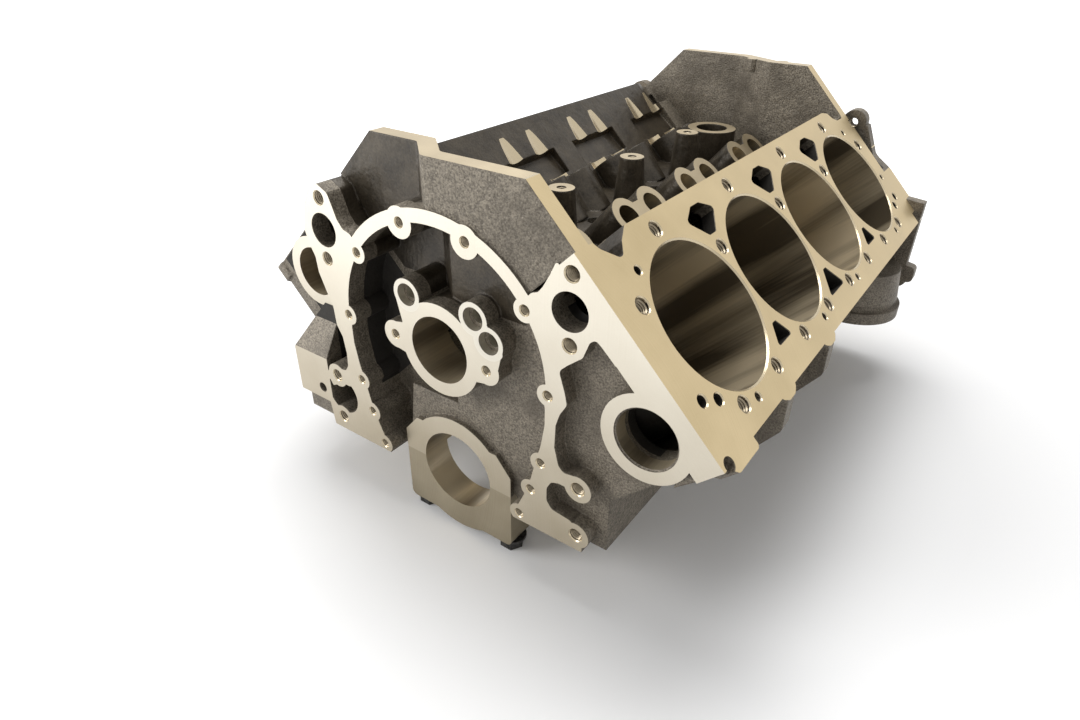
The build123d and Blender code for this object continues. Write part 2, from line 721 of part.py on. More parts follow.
def case_back():
    """Wall behind the upper timing case, stepped like its floor, that closes the valley in front."""
    high = disc(0, CAM_HEIGHT, CASE_OUT_R) & above(CASE_BACK_LOW)
    left_end, right_end = CASE_STEP
    back = CASE_FLOOR + WALL_THICK
    deep = CASE_DEEP + WALL_THICK
    lag = WALL_THICK / 3
    left_side = [(left_end + lag, deep), (-WIDE, deep), (-WIDE, CASE_DEEP - 1), (left_end, CASE_DEEP - 1)]
    right_side = [(right_end, CASE_FLOOR - 1), (WIDE, CASE_FLOOR - 1), (WIDE, back), (right_end + lag, back)]
    return prism(high, 0, deep + 1) & slab(sharp(*left_side, *right_side), 0, WIDE)


def cam_nose():
    """Ring round the front cam bore with the ears of the thrust plate and the gallery bosses."""
    face = disc(0, CAM_HEIGHT, CAM_RING_R)
    for x in (-CAM_EAR_X, CAM_EAR_X):
        face += disc(x, CAM_EAR_Z, CAM_EAR_R)
        face += sharp((x, CAM_EAR_Z - CAM_EAR_R + 0.5), (0, 96), (0, 134), (x, CAM_EAR_Z + CAM_EAR_R - 0.5))
    for x, z in GALLERY_HOLES:
        face += disc(x, z, GALLERY_BOSS_R)
        face += sharp((x - 11, z - 4), (x - 6, z - GALLERY_WEB), (x + 6, z - GALLERY_WEB), (x + 11, z - 4))
    return face + rounded([(32.4, 162), (45.3, 148), (56, 140), (57.3, 127), (30, 127)], 4.0)


def front_fill():
    """Raised stock behind the machined outlines of the front."""
    core_x, core_z = bank_xz(*RIGHT_CORE)
    corner = sharp((184, 84), (198, 96), (186, 100))
    return [
        prism(timing_face(), 0, RAIL_STOCK),
        prism(cam_nose(), 0, CASE_DEEP + 8),
        prism(deck_strip(), 0, POCKET_DEPTH + 2),
        prism(corner, 2, POCKET_DEPTH + 2),
        rod(core_x, core_z, CORE_RING_R, 0, POCKET_DEPTH + 2),
        rod(*LEFT_CORE, CORE_RING_R - 1, STAGGER, STAGGER + POCKET_DEPTH),
    ]


def fuel_pump_boss():
    """Boss of the fuel pump, and the opening and bolt holes in its side."""
    back = sharp((FUEL_X, FUEL_LOW), (FUEL_ROOT_X, FUEL_LOW), (FUEL_ROOT_X, FUEL_BACK_HIGH),
                 (-150, FUEL_BACK_HIGH), (FUEL_X, FUEL_HIGH))
    upper = prism(fuel_pump_pad() + back, 0, FUEL_LENGTH)
    foot = sharp((FUEL_X, RAIL_Z), (FUEL_ROOT_X, RAIL_Z), (FUEL_ROOT_X, FUEL_LOW + 1), (FUEL_X, FUEL_LOW + 1))
    lower = prism(foot, FUEL_FOOT_SETBACK, FUEL_LENGTH)
    slope = sharp((-1, FUEL_HIGH), (FUEL_SLOPE_BACK, FUEL_BACK_HIGH), (FUEL_SLOPE_BACK, WIDE), (-1, WIDE))
    upper -= bar_x(slope, FUEL_X - 10, FUEL_ROOT_X + 10)
    middle_y = FUEL_LENGTH / 2
    middle_z = (FUEL_LOW + FUEL_HIGH) / 2
    opening = Pos(middle_y, middle_z) * RectangleRounded(*FUEL_OPENING, 8.0)
    spaces = [bar_x(opening, FUEL_X - 1, FUEL_X + FUEL_OPENING_DEPTH)]
    for way in (-1, 1):
        hole = Pos(middle_y + way * FUEL_BOLT_PITCH / 2, middle_z) * Circle(FOOT_BOLT_R)
        spaces.append(bar_x(hole, FUEL_X - 1, FUEL_X + FRONT_HOLE_DEPTH))
    spaces.append(rod(*FUEL_ROD_HOLE, FUEL_ROD_R, -1, FUEL_ROD_DEPTH))
    return [upper, lower], spaces


def front_holes():
    """Holes drilled and cast in the front of the block."""
    spaces = [drilled(x, z, COVER_BOLT_R, 0, SMALL_DEPTH) for x, z in mirrored(COVER_BOLTS)]
    spaces += [drilled(x, z, FOOT_BOLT_R, 0, FRONT_HOLE_DEPTH) for x, z in mirrored(FOOT_BOLTS)]
    spaces += [drilled(x, z, PUMP_BOLT_R, 0, FRONT_HOLE_DEPTH) for x, z in mirrored(PUMP_BOLTS)]
    spaces += [drilled(x, CAM_EAR_Z, COVER_BOLT_R, 0, SMALL_DEPTH) for x in (-CAM_EAR_X, CAM_EAR_X)]
    for x, z in GALLERY_HOLES:
        spaces.append(rod(x, z, GALLERY_SINK_R, -1, GALLERY_SINK))
        spaces.append(rod(x, z, GALLERY_R, 0, GALLERY_DEPTH))
        spaces.append(rod(x, z, GALLERY_R, LENGTH - GALLERY_DEPTH, LENGTH + 1))
    spaces.append(rod(*OIL_HOLE, OIL_HOLE_R, -1, SMALL_DEPTH))
    spaces += [rod(x, z, PORT_R, -1, PORT_DEPTH) for x, z in mirrored([PORT])]
    core_x, core_z = bank_xz(*RIGHT_CORE)
    spaces.append(rod(core_x, core_z, CORE_PLUG_R, -1, POCKET_DEPTH + JACKET_END_WALL + 2))
    spaces.append(rod(core_x, core_z, CORE_PLUG_R + BORE_CHAMFER, -1, BORE_CHAMFER))
    spaces.append(rod(*LEFT_CORE, CORE_PLUG_R, STAGGER - 1, STAGGER + LEFT_SET_BACK + 2 * JACKET_END_WALL))
    return spaces


def posts():
    """Tapped valley posts on the three middle bulkheads, and the distributor's seat."""
    pieces = []
    for y0, y1 in mains()[1:-1]:
        at = Pos(0, (y0 + y1) / 2)
        foot = Plane.XY.offset(VALLEY_FLOOR - 2) * at * Circle(POST_FOOT_R)
        top = Plane.XY.offset(POST_TOP) * at * Circle(POST_TOP_R)
        pieces.append(loft([foot, top]))
    pieces.append(slab(Pos(0, DISTRIBUTOR_Y) * Circle(DISTRIBUTOR_R), VALLEY_FLOOR - 2, DISTRIBUTOR_TOP))
    return pieces


def valley_holes():
    """Holes in the posts and the distributor's seat, and the oil drains between them."""
    spans = mains()
    spaces = []
    for y0, y1 in spans[1:-1]:
        hole = Pos(0, (y0 + y1) / 2) * Circle(POST_HOLE_R)
        spaces.append(slab(hole, POST_TOP - POST_HOLE_DEPTH, POST_TOP + 1))
    for k in range(len(spans) - 2):
        drain = Pos(0, (spans[k][1] + spans[k + 1][0]) / 2) * Circle(DRAIN_R)
        spaces.append(slab(drain, CAM_HEIGHT, VALLEY_FLOOR + 5))
    spaces.append(slab(Pos(0, DISTRIBUTOR_Y) * Circle(DISTRIBUTOR_BORE_R), CAM_HEIGHT, DISTRIBUTOR_TOP + 1))
    return spaces


def rear_flange():
    """Bellhousing flange, with its bolt ears."""
    edge = [(0, RAIL_Z), (170, RAIL_Z), (212, 36), (213, 128), (191, 130), (152, 168), (140, 196), (112, 196)]
    half = sharp(*edge, (100, 190), (0, VALLEY_FLOOR))
    face = half + mirror(half, about=Plane.YZ)
    for x, z in mirrored(BELL_BOLTS):
        face += disc(x, z, BELL_BOSS_R)
    for x in (-1, 1):
        face += rounded([(x * 200, 38), (x * 222, 42), (x * 222, 58), (x * 200, 62)], 5.0)
    return prism(face, LENGTH - FLANGE_THICK, LENGTH)


def rear_holes():
    """Bolt and dowel holes of the bellhousing flange."""
    spaces = [rod(x, z, BELL_BOLT_R, LENGTH - BELL_DEPTH, LENGTH + 1) for x, z in mirrored(BELL_BOLTS)]
    spaces += [rod(x, z, BELL_DOWEL_R, LENGTH - FLANGE_THICK, LENGTH + 1) for x, z in mirrored([BELL_DOWEL])]
    return spaces


def filter_mount():
    """Oil filter mount at the right rear: a round boss with a lipped face that looks down."""
    groove_r = FILTER_R - FILTER_GROOVE_DEPTH
    groove_top = FILTER_FACE + FILTER_LIP + FILTER_GROOVE
    profile = sharp((0, FILTER_FACE), (FILTER_R, FILTER_FACE), (FILTER_R, FILTER_FACE + FILTER_LIP),
                    (groove_r, FILTER_FACE + FILTER_LIP), (groove_r, groove_top),
                    (FILTER_NECK_R + FILTER_NECK_FLARE, groove_top),
                    (FILTER_NECK_R, FILTER_TOP), (0, FILTER_TOP))
    boss = Pos(*FILTER, 0) * revolve(Plane.XZ * profile, Axis.Z)
    seal_in, seal_out = FILTER_SEAL
    at = Pos(*FILTER)
    boss -= slab(at * (Circle(seal_out) - Circle(seal_in)), FILTER_FACE - 1, FILTER_FACE + FILTER_SEAL_DEPTH)
    boss -= slab(at * Circle(FILTER_BORE_R), FILTER_FACE - 1, FILTER_BORE_END)
    neck = rounded([(120, 20), (178, 30), (188, 95), (130, 95)], 8.0)
    return boss + prism(neck, FILTER[1] - 41, LENGTH - 1)


def starter_pad():
    """Pad of the starter motor beside the left pan rail, at the rear, with its bolt holes."""
    x0, x1 = STARTER_X
    y0, y1 = STARTER_Y
    pad = slab(rounded([(x0, y0), (x1, y0 - 14), (x1, y1), (x0, y1)], 8.0), RAIL_Z, STARTER_TOP)
    holes = [slab(Pos(x, y) * Circle(STARTER_BOLT_R), RAIL_Z - 1, STARTER_TOP + 1) for x, y in STARTER_BOLTS]
    return pad, holes


def pan_bolt_holes():
    """Bolt holes of the oil pan in both rails."""
    x = SKIRT_X - RAIL_WIDTH / 2
    ys = [PAN_BOLT_START + i * PAN_BOLT_PITCH for i in range(PAN_BOLT_COUNT)]
    points = [(side * x, y) for side in (-1, 1) for y in ys]
    return [slab(Pos(*p) * Circle(PAN_BOLT_R), RAIL_Z - 1, RAIL_Z + SMALL_DEPTH) for p in points]


def bolt_columns(k):
    """Distance from the crank axis of each of a cap's bolts."""
    return [-OUTER_BOLT_X, -BOLT_X, BOLT_X, OUTER_BOLT_X] if is_wide(k) else [-BOLT_X, BOLT_X]


def bolt_reach(x):
    """How far a main bolt at that distance from the crank axis goes into the block."""
    return BOLT_DEPTH if abs(x) == BOLT_X else OUTER_BOLT_DEPTH


def line_bores():
    """Main and cam bores through all bulkheads, and the wider cam tunnel between them."""
    spans = mains()
    spaces = [rod(0, CAM_HEIGHT, CAM_D / 2, -1, LENGTH + 1), rod(0, 0, MAIN_D / 2, -1, LENGTH + 1)]
    for k in range(len(spans) - 1):
        spaces.append(rod(0, CAM_HEIGHT, TUNNEL_R, spans[k][1], spans[k + 1][0]))
    for k, (y0, y1) in enumerate(spans):
        for x in bolt_columns(k):
            hole = Pos(x, (y0 + y1) / 2) * Circle(BOLT_R + BOLT_GAP)
            spaces.append(slab(hole, -1, bolt_reach(x) + BOLT_SPARE))
    return spaces


def block():
    """The casting."""
    core_rings, core_spaces = side_cores()
    mount_bosses, mount_holes = engine_mounts()
    fuel_boss, fuel_spaces = fuel_pump_boss()
    starter, starter_holes = starter_pad()
    stock = end_walls() + front_fill() + fuel_boss + posts()
    stock += both(deck_bumps() + gussets() + core_rings + mount_bosses + lifter_bosses())
    stock += [case_back(), rear_flange(), filter_mount(), starter]
    body = shell_body() + stock
    body = body - (crank_bays() + [case_space()])
    body = body + both(barrels(BARREL_END)) + saddles() + [prism(cam_nose(), 0, CASE_DEEP + 2)]
    body = body - both([jacket()])
    cuts = both(cylinders() + deck_ports() + deck_holes() + deck_edge_spaces() + lifter_spaces())
    cuts += both(wall_recesses() + core_spaces + mount_holes)
    cuts += fuel_spaces + starter_holes + front_holes() + valley_holes()
    cuts += rear_holes() + pan_bolt_holes() + cap_pockets() + line_bores()
    return body - cuts


def cap(k):
    """Main bearing cap, below the crank axis, with a hole for each bolt."""
    y0, y1 = mains()[k]
    outline = RectangleRounded(2 * CAP_HALF, 2 * CAP_SEAT, CAP_FILLET)
    outline += disc(0, 0, CAP_SEAT + CAP_BULGE) & Rectangle(2 * CAP_HALF, WIDE)
    if is_wide(k):
        outline += RectangleRounded(2 * OUTER_HALF, 2 * OUTER_SEAT, CAP_FILLET)
    piece = prism(outline & below(0), y0, y1) - rod(0, 0, MAIN_D / 2, y0 - 1, y1 + 1)
    for x in bolt_columns(k):
        piece -= slab(Pos(x, (y0 + y1) / 2) * Circle(BOLT_R + BOLT_GAP), -CAP_SEAT - CAP_BULGE - 1, 1)
    return piece


def main_bolt(x, y, seat):
    """Hexagon bolt with a washer, screwed up through a cap."""
    head = slab(Pos(x, y) * RegularPolygon(BOLT_HEAD_R, 6), -seat - BOLT_HEAD, -seat - WASHER)
    washer = slab(Pos(x, y) * Circle(WASHER_R), -seat - WASHER, -seat)
    return head + washer + slab(Pos(x, y) * Circle(BOLT_R), -seat, bolt_reach(x))


def bolts():
    """All bolts of the main caps, by name."""
    nodes = {}
    for k, (y0, y1) in enumerate(mains()):
        for x in bolt_columns(k):
            kind, seat = ("main", CAP_SEAT) if abs(x) == BOLT_X else ("outer", OUTER_SEAT)
            side = "right" if x > 0 else "left"
            nodes[f"{kind}_bolt_{k + 1}_{side}"] = main_bolt(x, (y0 + y1) / 2, seat)
    return nodes


def build():
    """Every piece, by name."""
    nodes = {"block": block()}
    for k in range(len(mains())):
        nodes[f"main_cap_{k + 1}"] = cap(k)
    nodes.update(bolts())
    return nodes


os.makedirs("parts", exist_ok=True)
for name, piece in build().items():
    export_step(piece.moved(Location((0, -MAIN_FACE, 0))), f"parts/{name}.step")
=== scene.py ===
"""Looks of a bare V8 engine block: sand-cast iron with milled, bored and tapped surfaces.

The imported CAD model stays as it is. The classes below give its pieces their finishes, add the screw threads
inside the tapped holes, and set up a plain studio with the camera at the photograph's viewing angle.
Lengths in the size fields are millimetres, in the frame of the CAD model, where nothing else is said.
"""

import json
import logging
import math
from dataclasses import dataclass, field
from enum import Enum

import bmesh
import bpy
from mathutils import Matrix, Vector

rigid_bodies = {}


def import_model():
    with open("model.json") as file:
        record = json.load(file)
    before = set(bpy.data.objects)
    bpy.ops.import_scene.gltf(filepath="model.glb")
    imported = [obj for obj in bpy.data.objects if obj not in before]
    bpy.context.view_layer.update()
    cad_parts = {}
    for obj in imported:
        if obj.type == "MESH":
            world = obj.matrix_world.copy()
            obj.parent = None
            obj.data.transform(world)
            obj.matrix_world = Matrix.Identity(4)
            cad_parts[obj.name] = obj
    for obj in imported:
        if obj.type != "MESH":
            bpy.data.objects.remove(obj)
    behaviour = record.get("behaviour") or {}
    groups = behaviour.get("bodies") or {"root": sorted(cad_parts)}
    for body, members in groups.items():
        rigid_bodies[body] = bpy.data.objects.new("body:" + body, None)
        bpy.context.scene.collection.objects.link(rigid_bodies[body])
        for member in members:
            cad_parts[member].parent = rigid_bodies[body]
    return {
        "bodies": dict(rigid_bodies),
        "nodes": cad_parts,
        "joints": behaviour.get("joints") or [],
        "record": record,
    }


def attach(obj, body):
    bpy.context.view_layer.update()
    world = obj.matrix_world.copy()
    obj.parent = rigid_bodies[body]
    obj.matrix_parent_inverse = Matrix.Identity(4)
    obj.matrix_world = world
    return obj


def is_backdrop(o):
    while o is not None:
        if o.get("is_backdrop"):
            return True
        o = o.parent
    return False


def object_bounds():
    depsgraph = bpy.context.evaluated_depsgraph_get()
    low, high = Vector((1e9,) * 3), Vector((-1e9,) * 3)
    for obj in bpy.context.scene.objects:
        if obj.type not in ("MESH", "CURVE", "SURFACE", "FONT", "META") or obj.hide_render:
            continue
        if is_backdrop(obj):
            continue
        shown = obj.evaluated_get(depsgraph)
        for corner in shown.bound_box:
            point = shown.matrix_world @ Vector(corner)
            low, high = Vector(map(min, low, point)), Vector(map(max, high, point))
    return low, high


LOG = logging.getLogger("engine_block")
MM = 0.001
BODY = "root"
# How far in millimetres a point may be off a machined surface and still count as on it.
TOLERANCE = 0.25
CHAMFER_MARGIN = 0.03
# Cosines of the angle between two directions: the same, nearly the same, nearly square, a chamfer's slope.
FLAT = 0.98
FACING = 0.9
SQUARE = 0.2
SLOPING = (0.5, 0.86)
BEVEL_SAMPLES = 4
RAYS_THAT_SEE = ("Camera", "Glossy", "Transmission")
FRONT = Vector((0, -1, 0))
REAR = Vector((0, 1, 0))
UP = Vector((0, 0, 1))
DOWN = Vector((0, 0, -1))
ACROSS = Vector((1, 0, 0))
CRANK_AXIS = Vector((0, 0, 0))
Colour = tuple[float, float, float]
Socket = bpy.types.NodeSocket


class Side(Enum):
    """The two banks, each with the sign of its X direction."""

    RIGHT = 1
    LEFT = -1


@dataclass(frozen=True)
class Layout:
    """Main sizes of the engine.

    Args:
        deck_height: Distance from the crank axis to a deck, square to it.
        bore_radius: Radius of the cylinder bores.
        bore_spacing: Distance between neighbouring bores of a bank.
        bore_count: Bores in a bank.
        bore_end: Distance from the crank axis to the lower end of a bore, along its axis.
        first_bore: Y of the right bank's front bore.
        stagger: How far the left bank stands behind the right one.
        front_face: Y of the timing face.
        rear_face: Y of the bellhousing face.
        cam_height: Height of the cam axis above the crank axis.
        main_radius: Radius of the main bores.
        cam_radius: Radius of the cam bores.
        core_radius: Radius of the core plugs' bores.
        lifter_tilt: Angle of the lifters from upright, in degrees.
        lifter_top: Distance of the lifter bosses' tops from the cam axis.
        lifter_radius: Radius of the lifter bores.
        lifter_cutter: Radius of the cutter that cleared the space over the lifter bores.
        lifter_half_pitch: Half the distance between a cylinder's two lifters.
        lifter_shift: How far a pair of lifters stands off its cylinder's middle.
        lifter_cut_end: Distance from the cam axis at which the cutter's marks end.
        rail_height: Height of the oil pan rails.
        post_top: Height of the valley posts.
        seat_top: Height of the distributor's seat.
        wall_top: Height of the end walls' tops.
        valley_floor: Height of the valley's floor.
        valley_half: Distance from the bore axes to the valley's side walls.
        valley_start: Y at which the valley begins.
        valley_end: Y at which it ends.
        jacket: Distances from the crank axis between which the banks' insides get painted shade.
        jacket_half: Half the width of that painted shade.
        jacket_start: Y at which it begins.
        jacket_end: Y at which it ends.
        core_across: Place of the front core plug across the right bank, with its height along the bore axes.
        left_core: X and Z of the left bank's front core plug.
        side_core_face: Distance from the bore axes to the rings of the side core plugs.
        galleries: X and Z of the oil galleries' mouths at the front.
        mount_face: Distance from the middle to the engine mounts' faces.
        mount_height: Height of the engine mounts' middles.
        mount_circle: Radius of the engine mounts' bolt circles.
        pump_face: Distance from the middle to the fuel pump's face.
        filter_face: Height of the oil filter's face.
    """

    deck_height: float = 229.235
    bore_radius: float = 52.3875
    bore_spacing: float = 111.76
    bore_count: int = 4
    bore_end: float = 86.0
    first_bore: float = 70.5
    stagger: float = 22.35
    front_face: float = -10.5
    rear_face: float = 503.85
    cam_height: float = 114.83
    main_radius: float = 33.54
    cam_radius: float = 25.65
    core_radius: float = 20.65
    lifter_tilt: float = 39.5
    lifter_top: float = 75.2
    lifter_radius: float = 10.7
    lifter_cutter: float = 18.7
    lifter_half_pitch: float = 19.5
    lifter_shift: float = 2.2
    lifter_cut_end: float = 134.0
    rail_height: float = -5.0
    post_top: float = 193.8
    seat_top: float = 187.0
    wall_top: float = 249.8
    valley_floor: float = 149.0
    valley_half: float = 60.0
    valley_start: float = 2.0
    valley_end: float = 467.0
    jacket: tuple[float, float] = (92.0, 228.4)
    jacket_half: float = 54.0
    jacket_start: float = 5.0
    jacket_end: float = 490.0
    core_across: tuple[float, float] = (-36.9, 194.3)
    left_core: tuple[float, float] = (-154.9, 125.0)
    side_core_face: float = 71.5
    galleries: tuple[tuple[float, float], ...] = ((-27.6, 150.0), (32.4, 150.0), (45.3, 136.0))
    mount_face: float = 166.0
    mount_height: float = 38.0
    mount_circle: float = 30.0
    pump_face: float = 171.0
    filter_face: float = 15.0

    def bank_shift(self, side: Side) -> float:
        """Returns how far a bank's features stand behind the right bank's."""
        return self.stagger if side is Side.LEFT else 0.0

    def bore_y(self, side: Side, index: float) -> float:
        """Returns the Y of a bore's axis, or of a place between two bores."""
        return self.first_bore + index * self.bore_spacing + self.bank_shift(side)

    def deck_point(self, side: Side, y: float, across: float, height: float | None = None) -> Vector:
        """Gives a point of a bank.

        Args:
            side: The bank.
            y: Distance along the engine, as on the right bank.
            across: Distance from the bore axes along the deck, positive towards the valley.
            height: Distance from the crank axis along the bore axes, or None for the deck.

        Returns:
            The point.
        """
        up = self.deck_height if height is None else height
        half = math.sqrt(0.5)
        return Vector((side.value * half * (up - across), y + self.bank_shift(side), half * (up + across)))

    def deck_normal(self, side: Side) -> Vector:
        """Returns the direction out of a deck."""
        half = math.sqrt(0.5)
        return Vector((side.value * half, 0.0, half))

    def flank_normal(self, side: Side) -> Vector:
        """Returns the direction out of a bank's outer wall."""
        half = math.sqrt(0.5)
        return Vector((side.value * half, 0.0, -half))

    def lifter_axis(self, side: Side) -> Vector:
        """Returns the direction of a bank's lifters, up from the cam axis."""
        tilt = math.radians(self.lifter_tilt)
        return Vector((side.value * math.sin(tilt), 0.0, math.cos(tilt)))

    def lifter_point(self, side: Side, index: int) -> Vector:
        """Returns the point on the cam axis in the middle of a pair of lifters."""
        shift = self.lifter_shift if index % 2 else -self.lifter_shift
        return Vector((0.0, self.bore_y(side, index) + shift, self.cam_height))


@dataclass(frozen=True)
class FlatCut:
    """All flat machined faces on one plane.

    Args:
        normal: Direction out of the faces.
        offset: Distance of the plane from the origin along that direction.
        chamfer: Depth of the chamfers round the holes in those faces, or 0 for none.
    """

    normal: Vector
    offset: float
    chamfer: float = 0.0


@dataclass(frozen=True)
class RoundCut:
    """The machined wall of a round hole, or of an evenly spaced row of holes along Y.

    Args:
        point: A point on the first hole's axis.
        axis: Direction of the holes.
        radius: Their radius.
        low: Where the wall begins, measured along the axis from the origin.
        high: Where it ends.
        pitch: Distance between the holes of a row, or None for one hole.
        count: Holes in the row.
        twin: Half the distance between the two holes that stand at each place of a row, or 0.
    """

    point: Vector
    axis: Vector
    radius: float
    low: float
    high: float
    pitch: float | None = None
    count: int = 1
    twin: float = 0.0


class Field:
    """A value in a material's node tree that can be reckoned with like a number."""

    def __init__(self, graph: "Graph", socket: Socket) -> None:
        """Wraps an output socket of a graph."""
        self.graph = graph
        self.socket = socket

    def __add__(self, other: "Field | float") -> "Field":
        """Returns the sum."""
        return self.graph.maths("ADD", self, other)

    def __sub__(self, other: "Field | float") -> "Field":
        """Returns the difference."""
        return self.graph.maths("SUBTRACT", self, other)

    def __mul__(self, other: "Field | float") -> "Field":
        """Returns the product."""
        return self.graph.maths("MULTIPLY", self, other)

    def absolute(self) -> "Field":
        """Returns the value without its sign."""
        return self.graph.maths("ABSOLUTE", self)

    def below(self, limit: float) -> "Field":
        """Returns 1 where the value is under a limit, and 0 elsewhere."""
        return self.graph.maths("LESS_THAN", self, limit)

    def above(self, limit: float) -> "Field":
        """Returns 1 where the value is over a limit, and 0 elsewhere."""
        return self.graph.maths("GREATER_THAN", self, limit)

    def between(self, low: float, high: float) -> "Field":
        """Returns 1 between two limits, and 0 elsewhere."""
        return (self - 0.5 * (low + high)).absolute().below(0.5 * (high - low))

    def either(self, other: "Field") -> "Field":
        """Returns the larger of two masks."""
        return self.graph.maths("MAXIMUM", self, other)

    def ramp(self, low: float, high: float, to_low: float = 0.0, to_high: float = 1.0) -> "Field":
        """Maps the range low to high on another range, and holds it at the ends.

        Args:
            low: Value that becomes to_low.
            high: Value that becomes to_high.
            to_low: Start of the new range.
            to_high: End of the new range.

        Returns:
            The mapped value.
        """
        node = self.graph.node("ShaderNodeMapRange")
        node.inputs["From Min"].default_value = low
        node.inputs["From Max"].default_value = high
        node.inputs["To Min"].default_value = to_low
        node.inputs["To Max"].default_value = to_high
        self.graph.link(self.socket, node.inputs["Value"])
        return Field(self.graph, node.outputs["Result"])


class Graph:
    """A node tree of a material or the world, with short ways to the nodes that the finishes use."""

    def __init__(self, owner: bpy.types.Material | bpy.types.World) -> None:
        """Empties the node tree of a material or a world, and gives it its output.

        Args:
            owner: The material or world.
        """
        owner.use_nodes = True
        self.owner = owner
        self.tree = owner.node_tree
        self.tree.nodes.clear()
        kind = "World" if isinstance(owner, bpy.types.World) else "Material"
        self.output = self.node(f"ShaderNodeOutput{kind}")
        self.position = self.node("ShaderNodeNewGeometry").outputs["Position"]
        self.normal = self.node("ShaderNodeNewGeometry").outputs["Normal"]
        self.split = self.node("ShaderNodeSeparateXYZ")
        self.link(self.position, self.split.inputs[0])

    def node(self, kind: str) -> bpy.types.Node:
        """Returns a new node of a kind."""
        return self.tree.nodes.new(kind)

    def link(self, start: Socket, end: Socket) -> None:
        """Joins an output to an input."""
        self.tree.links.new(start, end)

    def place(self, axis: str) -> Field:
        """Returns the point's X, Y or Z, in metres."""
        return Field(self, self.split.outputs[axis])

    def _feed(self, socket: Socket, value: "Field | float") -> None:
        """Links a field to an input, or sets a number on it."""
        if isinstance(value, Field):
            self.link(value.socket, socket)
        else:
            socket.default_value = value

    def maths(self, operation: str, first: "Field | float", second: "Field | float | None" = None) -> Field:
        """Makes a Math node.

        Args:
            operation: The node's operation.
            first: Its first value.
            second: Its second value, where it has one.

        Returns:
            The result.
        """
        node = self.node("ShaderNodeMath")
        node.operation = operation
        self._feed(node.inputs[0], first)
        if second is not None:
            self._feed(node.inputs[1], second)
        return Field(self, node.outputs[0])

    def along(self, source: Socket, direction: Vector) -> Field:
        """Returns how far a vector reaches in a direction."""
        node = self.node("ShaderNodeVectorMath")
        node.operation = "DOT_PRODUCT"
        node.inputs[1].default_value = direction
        self.link(source, node.inputs[0])
        return Field(self, node.outputs["Value"])

    def flat(self, cut: FlatCut) -> Field:
        """Masks the flat faces on a plane.

        Args:
            cut: The plane.

        Returns:
            1 on those faces, and 0 elsewhere.
        """
        near = (self.along(self.position, cut.normal) - cut.offset * MM).absolute().below(TOLERANCE * MM)
        return near * self.along(self.normal, cut.normal).above(FACING)

    def chamfers(self, cut: FlatCut) -> Field:
        """Masks the chamfered mouths of the holes in a plane's faces."""
        height = self.along(self.position, cut.normal)
        low = cut.offset - cut.chamfer
        rim = height.between((low - CHAMFER_MARGIN) * MM, (cut.offset - CHAMFER_MARGIN) * MM)
        return rim * self.along(self.normal, cut.normal).between(*SLOPING)

    def distance(self, point: Vector, axis: Vector, pitch: float | None = None, twin: float = 0.0) -> Field:
        """Measures the distance from an axis, or from the nearest of a row of parallel axes along Y.

        Args:
            point: A point on the first axis.
            axis: Direction of the axis.
            pitch: Distance between the axes of a row, or None for one axis.
            twin: Half the distance between the two axes that stand at each place of a row.

        Returns:
            The distance, in metres.
        """
        offset = self.node("ShaderNodeVectorMath")
        offset.operation = "SUBTRACT"
        offset.inputs[1].default_value = point * MM
        self.link(self.position, offset.inputs[0])
        source = offset.outputs[0]
        if pitch is not None:
            split = self.node("ShaderNodeSeparateXYZ")
            self.link(source, split.inputs[0])
            half = pitch * MM / 2
            wrapped = self.maths("FLOORED_MODULO", Field(self, split.outputs["Y"]) + half, pitch * MM) - half
            if twin:
                wrapped = wrapped.absolute() - twin * MM
            join = self.node("ShaderNodeCombineXYZ")
            self.link(split.outputs["X"], join.inputs["X"])
            self.link(wrapped.socket, join.inputs["Y"])
            self.link(split.outputs["Z"], join.inputs["Z"])
            source = join.outputs[0]
        cross = self.node("ShaderNodeVectorMath")
        cross.operation = "CROSS_PRODUCT"
        cross.inputs[1].default_value = axis
        self.link(source, cross.inputs[0])
        length = self.node("ShaderNodeVectorMath")
        length.operation = "LENGTH"
        self.link(cross.outputs[0], length.inputs[0])
        return Field(self, length.outputs["Value"])

    def round(self, cut: RoundCut) -> Field:
        """Masks the walls of round holes.

        Args:
            cut: The holes.

        Returns:
            1 on the walls, and 0 elsewhere.
        """
        away = self.distance(cut.point, cut.axis, cut.pitch, cut.twin)
        wall = (away - cut.radius * MM).absolute().below(TOLERANCE * MM)
        wall = wall * self.along(self.normal, cut.axis).absolute().below(SQUARE)
        wall = wall * self.along(self.position, cut.axis).between(cut.low * MM, cut.high * MM)
        if cut.pitch is not None:
            first = cut.point.y - cut.pitch / 2
            wall = wall * self.place("Y").between(first * MM, (first + cut.count * cut.pitch) * MM)
        return wall

    def any(self, masks: list[Field]) -> Field:
        """Returns 1 where any of some masks is 1."""
        total = masks[0]
        for mask in masks[1:]:
            total = total.either(mask)
        return total

    def streaks(self, axis: Vector, size: float, stretch: float, detail: float = 2.0) -> Field:
        """Makes noise that is drawn out along an axis.

        Args:
            axis: Direction of the streaks.
            size: Width of a streak.
            stretch: How many times longer than wide they are.
            detail: Octaves.

        Returns:
            The noise, from 0 to 1.
        """
        reach = self.along(self.position, axis) * (1.0 / stretch - 1.0)
        part = self.node("ShaderNodeVectorMath")
        part.operation = "SCALE"
        part.inputs[0].default_value = axis
        self.link(reach.socket, part.inputs["Scale"])
        total = self.node("ShaderNodeVectorMath")
        total.operation = "ADD"
        self.link(self.position, total.inputs[0])
        self.link(part.outputs[0], total.inputs[1])
        return self.noise(size, detail, source=total.outputs[0])

